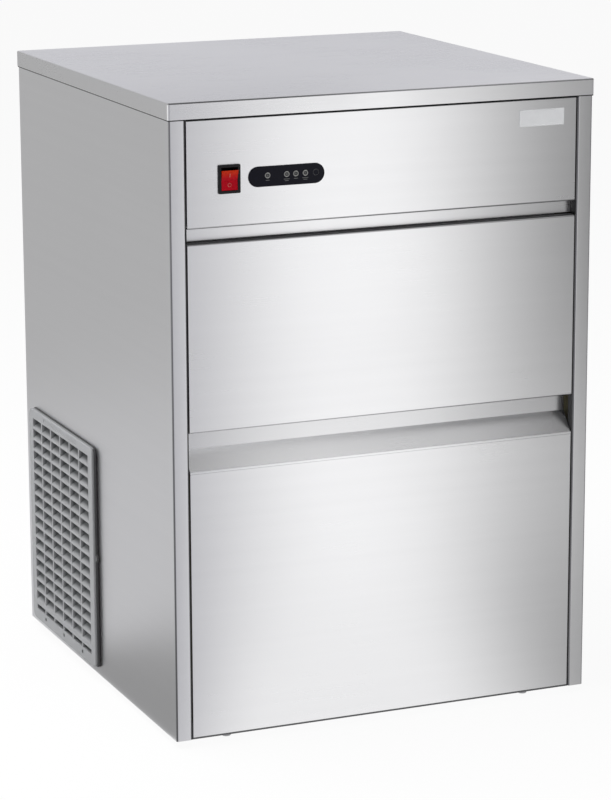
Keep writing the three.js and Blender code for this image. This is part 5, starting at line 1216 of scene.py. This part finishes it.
def soft_lamp(name, place, aim, size, power, in_metal=False):
    lamp = bpy.data.lights.new(name, "AREA")
    lamp.shape = "SQUARE"
    lamp.size = size
    lamp.energy = power
    holder = bpy.data.objects.new(name, lamp)
    holder.location = place
    holder.rotation_euler = (Vector(aim) - Vector(place)).to_track_quat("-Z", "Y").to_euler()
    holder.visible_glossy = in_metal
    bpy.context.scene.collection.objects.link(holder)


white_room(daylight=0.32)
centre = (0, 0, 0.35)
soft_lamp("overhead_lamp", (-0.8, 0.2, 2.6), centre, 2.0, 62)
soft_lamp("left_lamp", (-2.8, 0.3, 1.3), centre, 1.2, 16)
soft_lamp("front_lamp", (1.2, -3.2, 1.6), centre, 1.8, 16)
print("lamps:", [lamp.name for lamp in bpy.data.lights])


# %% A soft edge for the cloths
def soft_edge_group():
    tree, given, result = new_group(
        "Soft edge", "ShaderNodeTree",
        {"Place": (VECTOR, None), "Side fade": (FLOAT, 0.5), "End fade": (FLOAT, 0.5)}, {"Cover": FLOAT},
    )
    parts = add(tree, "ShaderNodeSeparateXYZ", {"Vector": given["Place"]}).outputs
    sides = []
    for axis, fade in (("X", "Side fade"), ("Y", "End fade")):
        inner = add(tree, "ShaderNodeMath", {0: 1.0, 1: given[fade]}, operation="SUBTRACT").outputs[0]
        from_middle = add(tree, "ShaderNodeMath", {0: parts[axis], 1: 0.5}, operation="SUBTRACT").outputs[0]
        reach = add(tree, "ShaderNodeMath", {0: from_middle}, operation="ABSOLUTE").outputs[0]
        whole = add(tree, "ShaderNodeMath", {0: reach, 1: 2.0}, operation="MULTIPLY").outputs[0]
        sides.append(add(tree, "ShaderNodeMapRange", {
            "Value": whole, "From Min": 1.0, "From Max": inner,
        }, interpolation_type="SMOOTHSTEP").outputs["Result"])
    both = add(tree, "ShaderNodeMath", {0: sides[0], 1: sides[1]}, operation="MULTIPLY")
    tree.links.new(both.outputs[0], result["Cover"])
    return tree


soft_edge = soft_edge_group()
print(soft_edge.name, "nodes:", len(soft_edge.nodes))


# %% A grey cloth that only reflections see
def grey_cloth(name, corner, across, up, colour, fade=(0.5, 0.5)):
    """Hangs a cloth from its corner along two edges. The metal sees it, and nothing else does."""
    mesh = bpy.data.meshes.new(name)
    start, side, rise = Vector(corner), Vector(across), Vector(up)
    mesh.from_pydata([start, start + side, start + side + rise, start + rise], [], [(0, 1, 2, 3)])
    places = mesh.uv_layers.new(name="Cloth")
    for loop, place in zip(places.data, ((0, 0), (1, 0), (1, 1), (0, 1))):
        loop.uv = place
    material = bpy.data.materials.new(name)
    tree = empty_tree(material)
    place = add(tree, "ShaderNodeUVMap", uv_map="Cloth").outputs[0]
    cover = grouped(tree, soft_edge, Place=place, Side_fade=fade[0], End_fade=fade[1])
    clear = add(tree, "ShaderNodeBsdfTransparent")
    glow = add(tree, "ShaderNodeEmission", {"Color": (*colour, 1)})
    mix = add(tree, "ShaderNodeMixShader", {0: cover["Cover"], 1: clear.outputs[0], 2: glow.outputs[0]})
    add(tree, "ShaderNodeOutputMaterial", {"Surface": mix.outputs[0]})
    cloth = linked(name, mesh, material)
    cloth.visible_camera = cloth.visible_diffuse = cloth.visible_shadow = cloth.visible_transmission = False
    print(name, "area:", round(side.length * rise.length, 2))


def grey(level, blue=0.0):
    return level, level, level + blue


# %% Where the cloths hang
SHORT_FADE, FLOOR_LIFT = 0.03, 0.003
grey_cloth("bright_cloth", (0.02, -0.82, -0.1), (0.4, 0, 0), (0, 0, 2), grey(1.12), (0.7, SHORT_FADE))
grey_cloth("right_cloth", (0.27, -0.8, 0.17), (1.6, 0, 0), (0, 0, 2), grey(0.24), (0.36, 0.06))
grey_cloth("right_low_cloth", (0.27, -0.79, -0.1), (1.6, 0, 0), (0, 0, 0.33), grey(0.5), (0.36, 0.2))
grey_cloth("left_cloth", (-1.46, -0.8, -0.1), (1.6, 0, 0), (0, 0, 2), grey(0.42, 0.03), (0.3, SHORT_FADE))
grey_cloth("right_floor_cloth", (0.05, -0.258, FLOOR_LIFT), (1.6, 0, 0), (0.2, -0.55, 0), grey(0.36),
           (0.3, SHORT_FADE))
grey_cloth("left_floor_cloth", (-1.74, -0.258, FLOOR_LIFT), (1.6, 0, 0), (0.25, -0.55, 0), grey(0.42, 0.03),
           (0.22, SHORT_FADE))
grey_cloth("side_cloth", (-2.4, 1.3, -1.5), (2.3, 0, 0), (0, 0, 4), grey(0.45), (0.2, 0.2))
grey_cloth("side_floor_cloth", (-1.7, -0.25, FLOOR_LIFT), (1.7, 0, 0), (0, 2.6, 0), grey(0.58, 0.01),
           (0.15, SHORT_FADE))
grey_cloth("side_near_cloth", (-1.85, -0.6, 2 * FLOOR_LIFT), (1.6, 0, 0), (0, 0.8, 0), grey(0.3),
           (0.003, 0.45))
grey_cloth("far_side_cloth", (2.3, -1.5, -0.2), (0, 4.5, 0), (0, 0, 2.6), grey(0.6, 0.01), (0.3, 0.3))
grey_cloth("far_floor_cloth", (0.27, -0.25, FLOOR_LIFT), (2.0, 0, 0), (0, 2.6, 0), grey(0.6, 0.01),
           (SHORT_FADE, 0.12))
grey_cloth("back_cloth", (-1.5, 2.6, -0.2), (4.5, 0, 0), (0, 0, 3), grey(0.575, 0.035), (0.2, 0.2))
grey_cloth("high_cloth", (-1.2, -2.6, 1.2), (3.2, 0, 0), (0, 2.7, 0), grey(1.0), (0.15, 0.15))
grey_cloth("high_left_cloth", (-1.27, -1.8, 1.0), (1.5, 0, 0), (0, 2.0, 0), grey(0.36), (0.3, 0.2))
grey_cloth("high_right_cloth", (0.42, -1.8, 1.0), (1.6, 0, 0), (0, 2.0, 0), grey(0.05), (0.4, 0.2))

# %% [markdown]
# ## The camera
# The photograph was taken with a long lens, from the left and a little above. The place, the turn
# and the lens below come from fitting the cabinet's corners, whose real size is known, to where the
# picture shows them. A lens shift could make the uprights stand parallel, but every other view would
# keep it too, so the lens stays plain and the uprights lean together slightly.

# %% Camera
CAMERA_PLACE = Vector((-1.358, -3.249, 1.142))
CAMERA_TURN, CAMERA_DIP, CAMERA_ROLL = (math.radians(angle) for angle in (22.96, 13.26, 0.2))
CAMERA_LENS = 138.1


def photo_camera():
    turn, dip = CAMERA_TURN, CAMERA_DIP
    ahead = Vector((math.sin(turn) * math.cos(dip), math.cos(turn) * math.cos(dip), -math.sin(dip)))
    right = Vector((math.cos(turn), -math.sin(turn), 0))
    up = right.cross(ahead)
    level = Matrix((right, up, -ahead)).transposed()
    holder = bpy.data.objects.new("camera", bpy.data.cameras.new("camera"))
    holder.data.lens = CAMERA_LENS
    roll = Matrix.Rotation(-CAMERA_ROLL, 3, "Z")
    holder.matrix_world = Matrix.Translation(CAMERA_PLACE) @ (level @ roll).to_4x4()
    bpy.context.scene.collection.objects.link(holder)
    bpy.context.scene.camera = holder


photo_camera()
bpy.context.scene.view_settings.view_transform = "Standard"
print("camera:", [round(side, 3) for side in CAMERA_PLACE], "lens:", CAMERA_LENS, "mm")
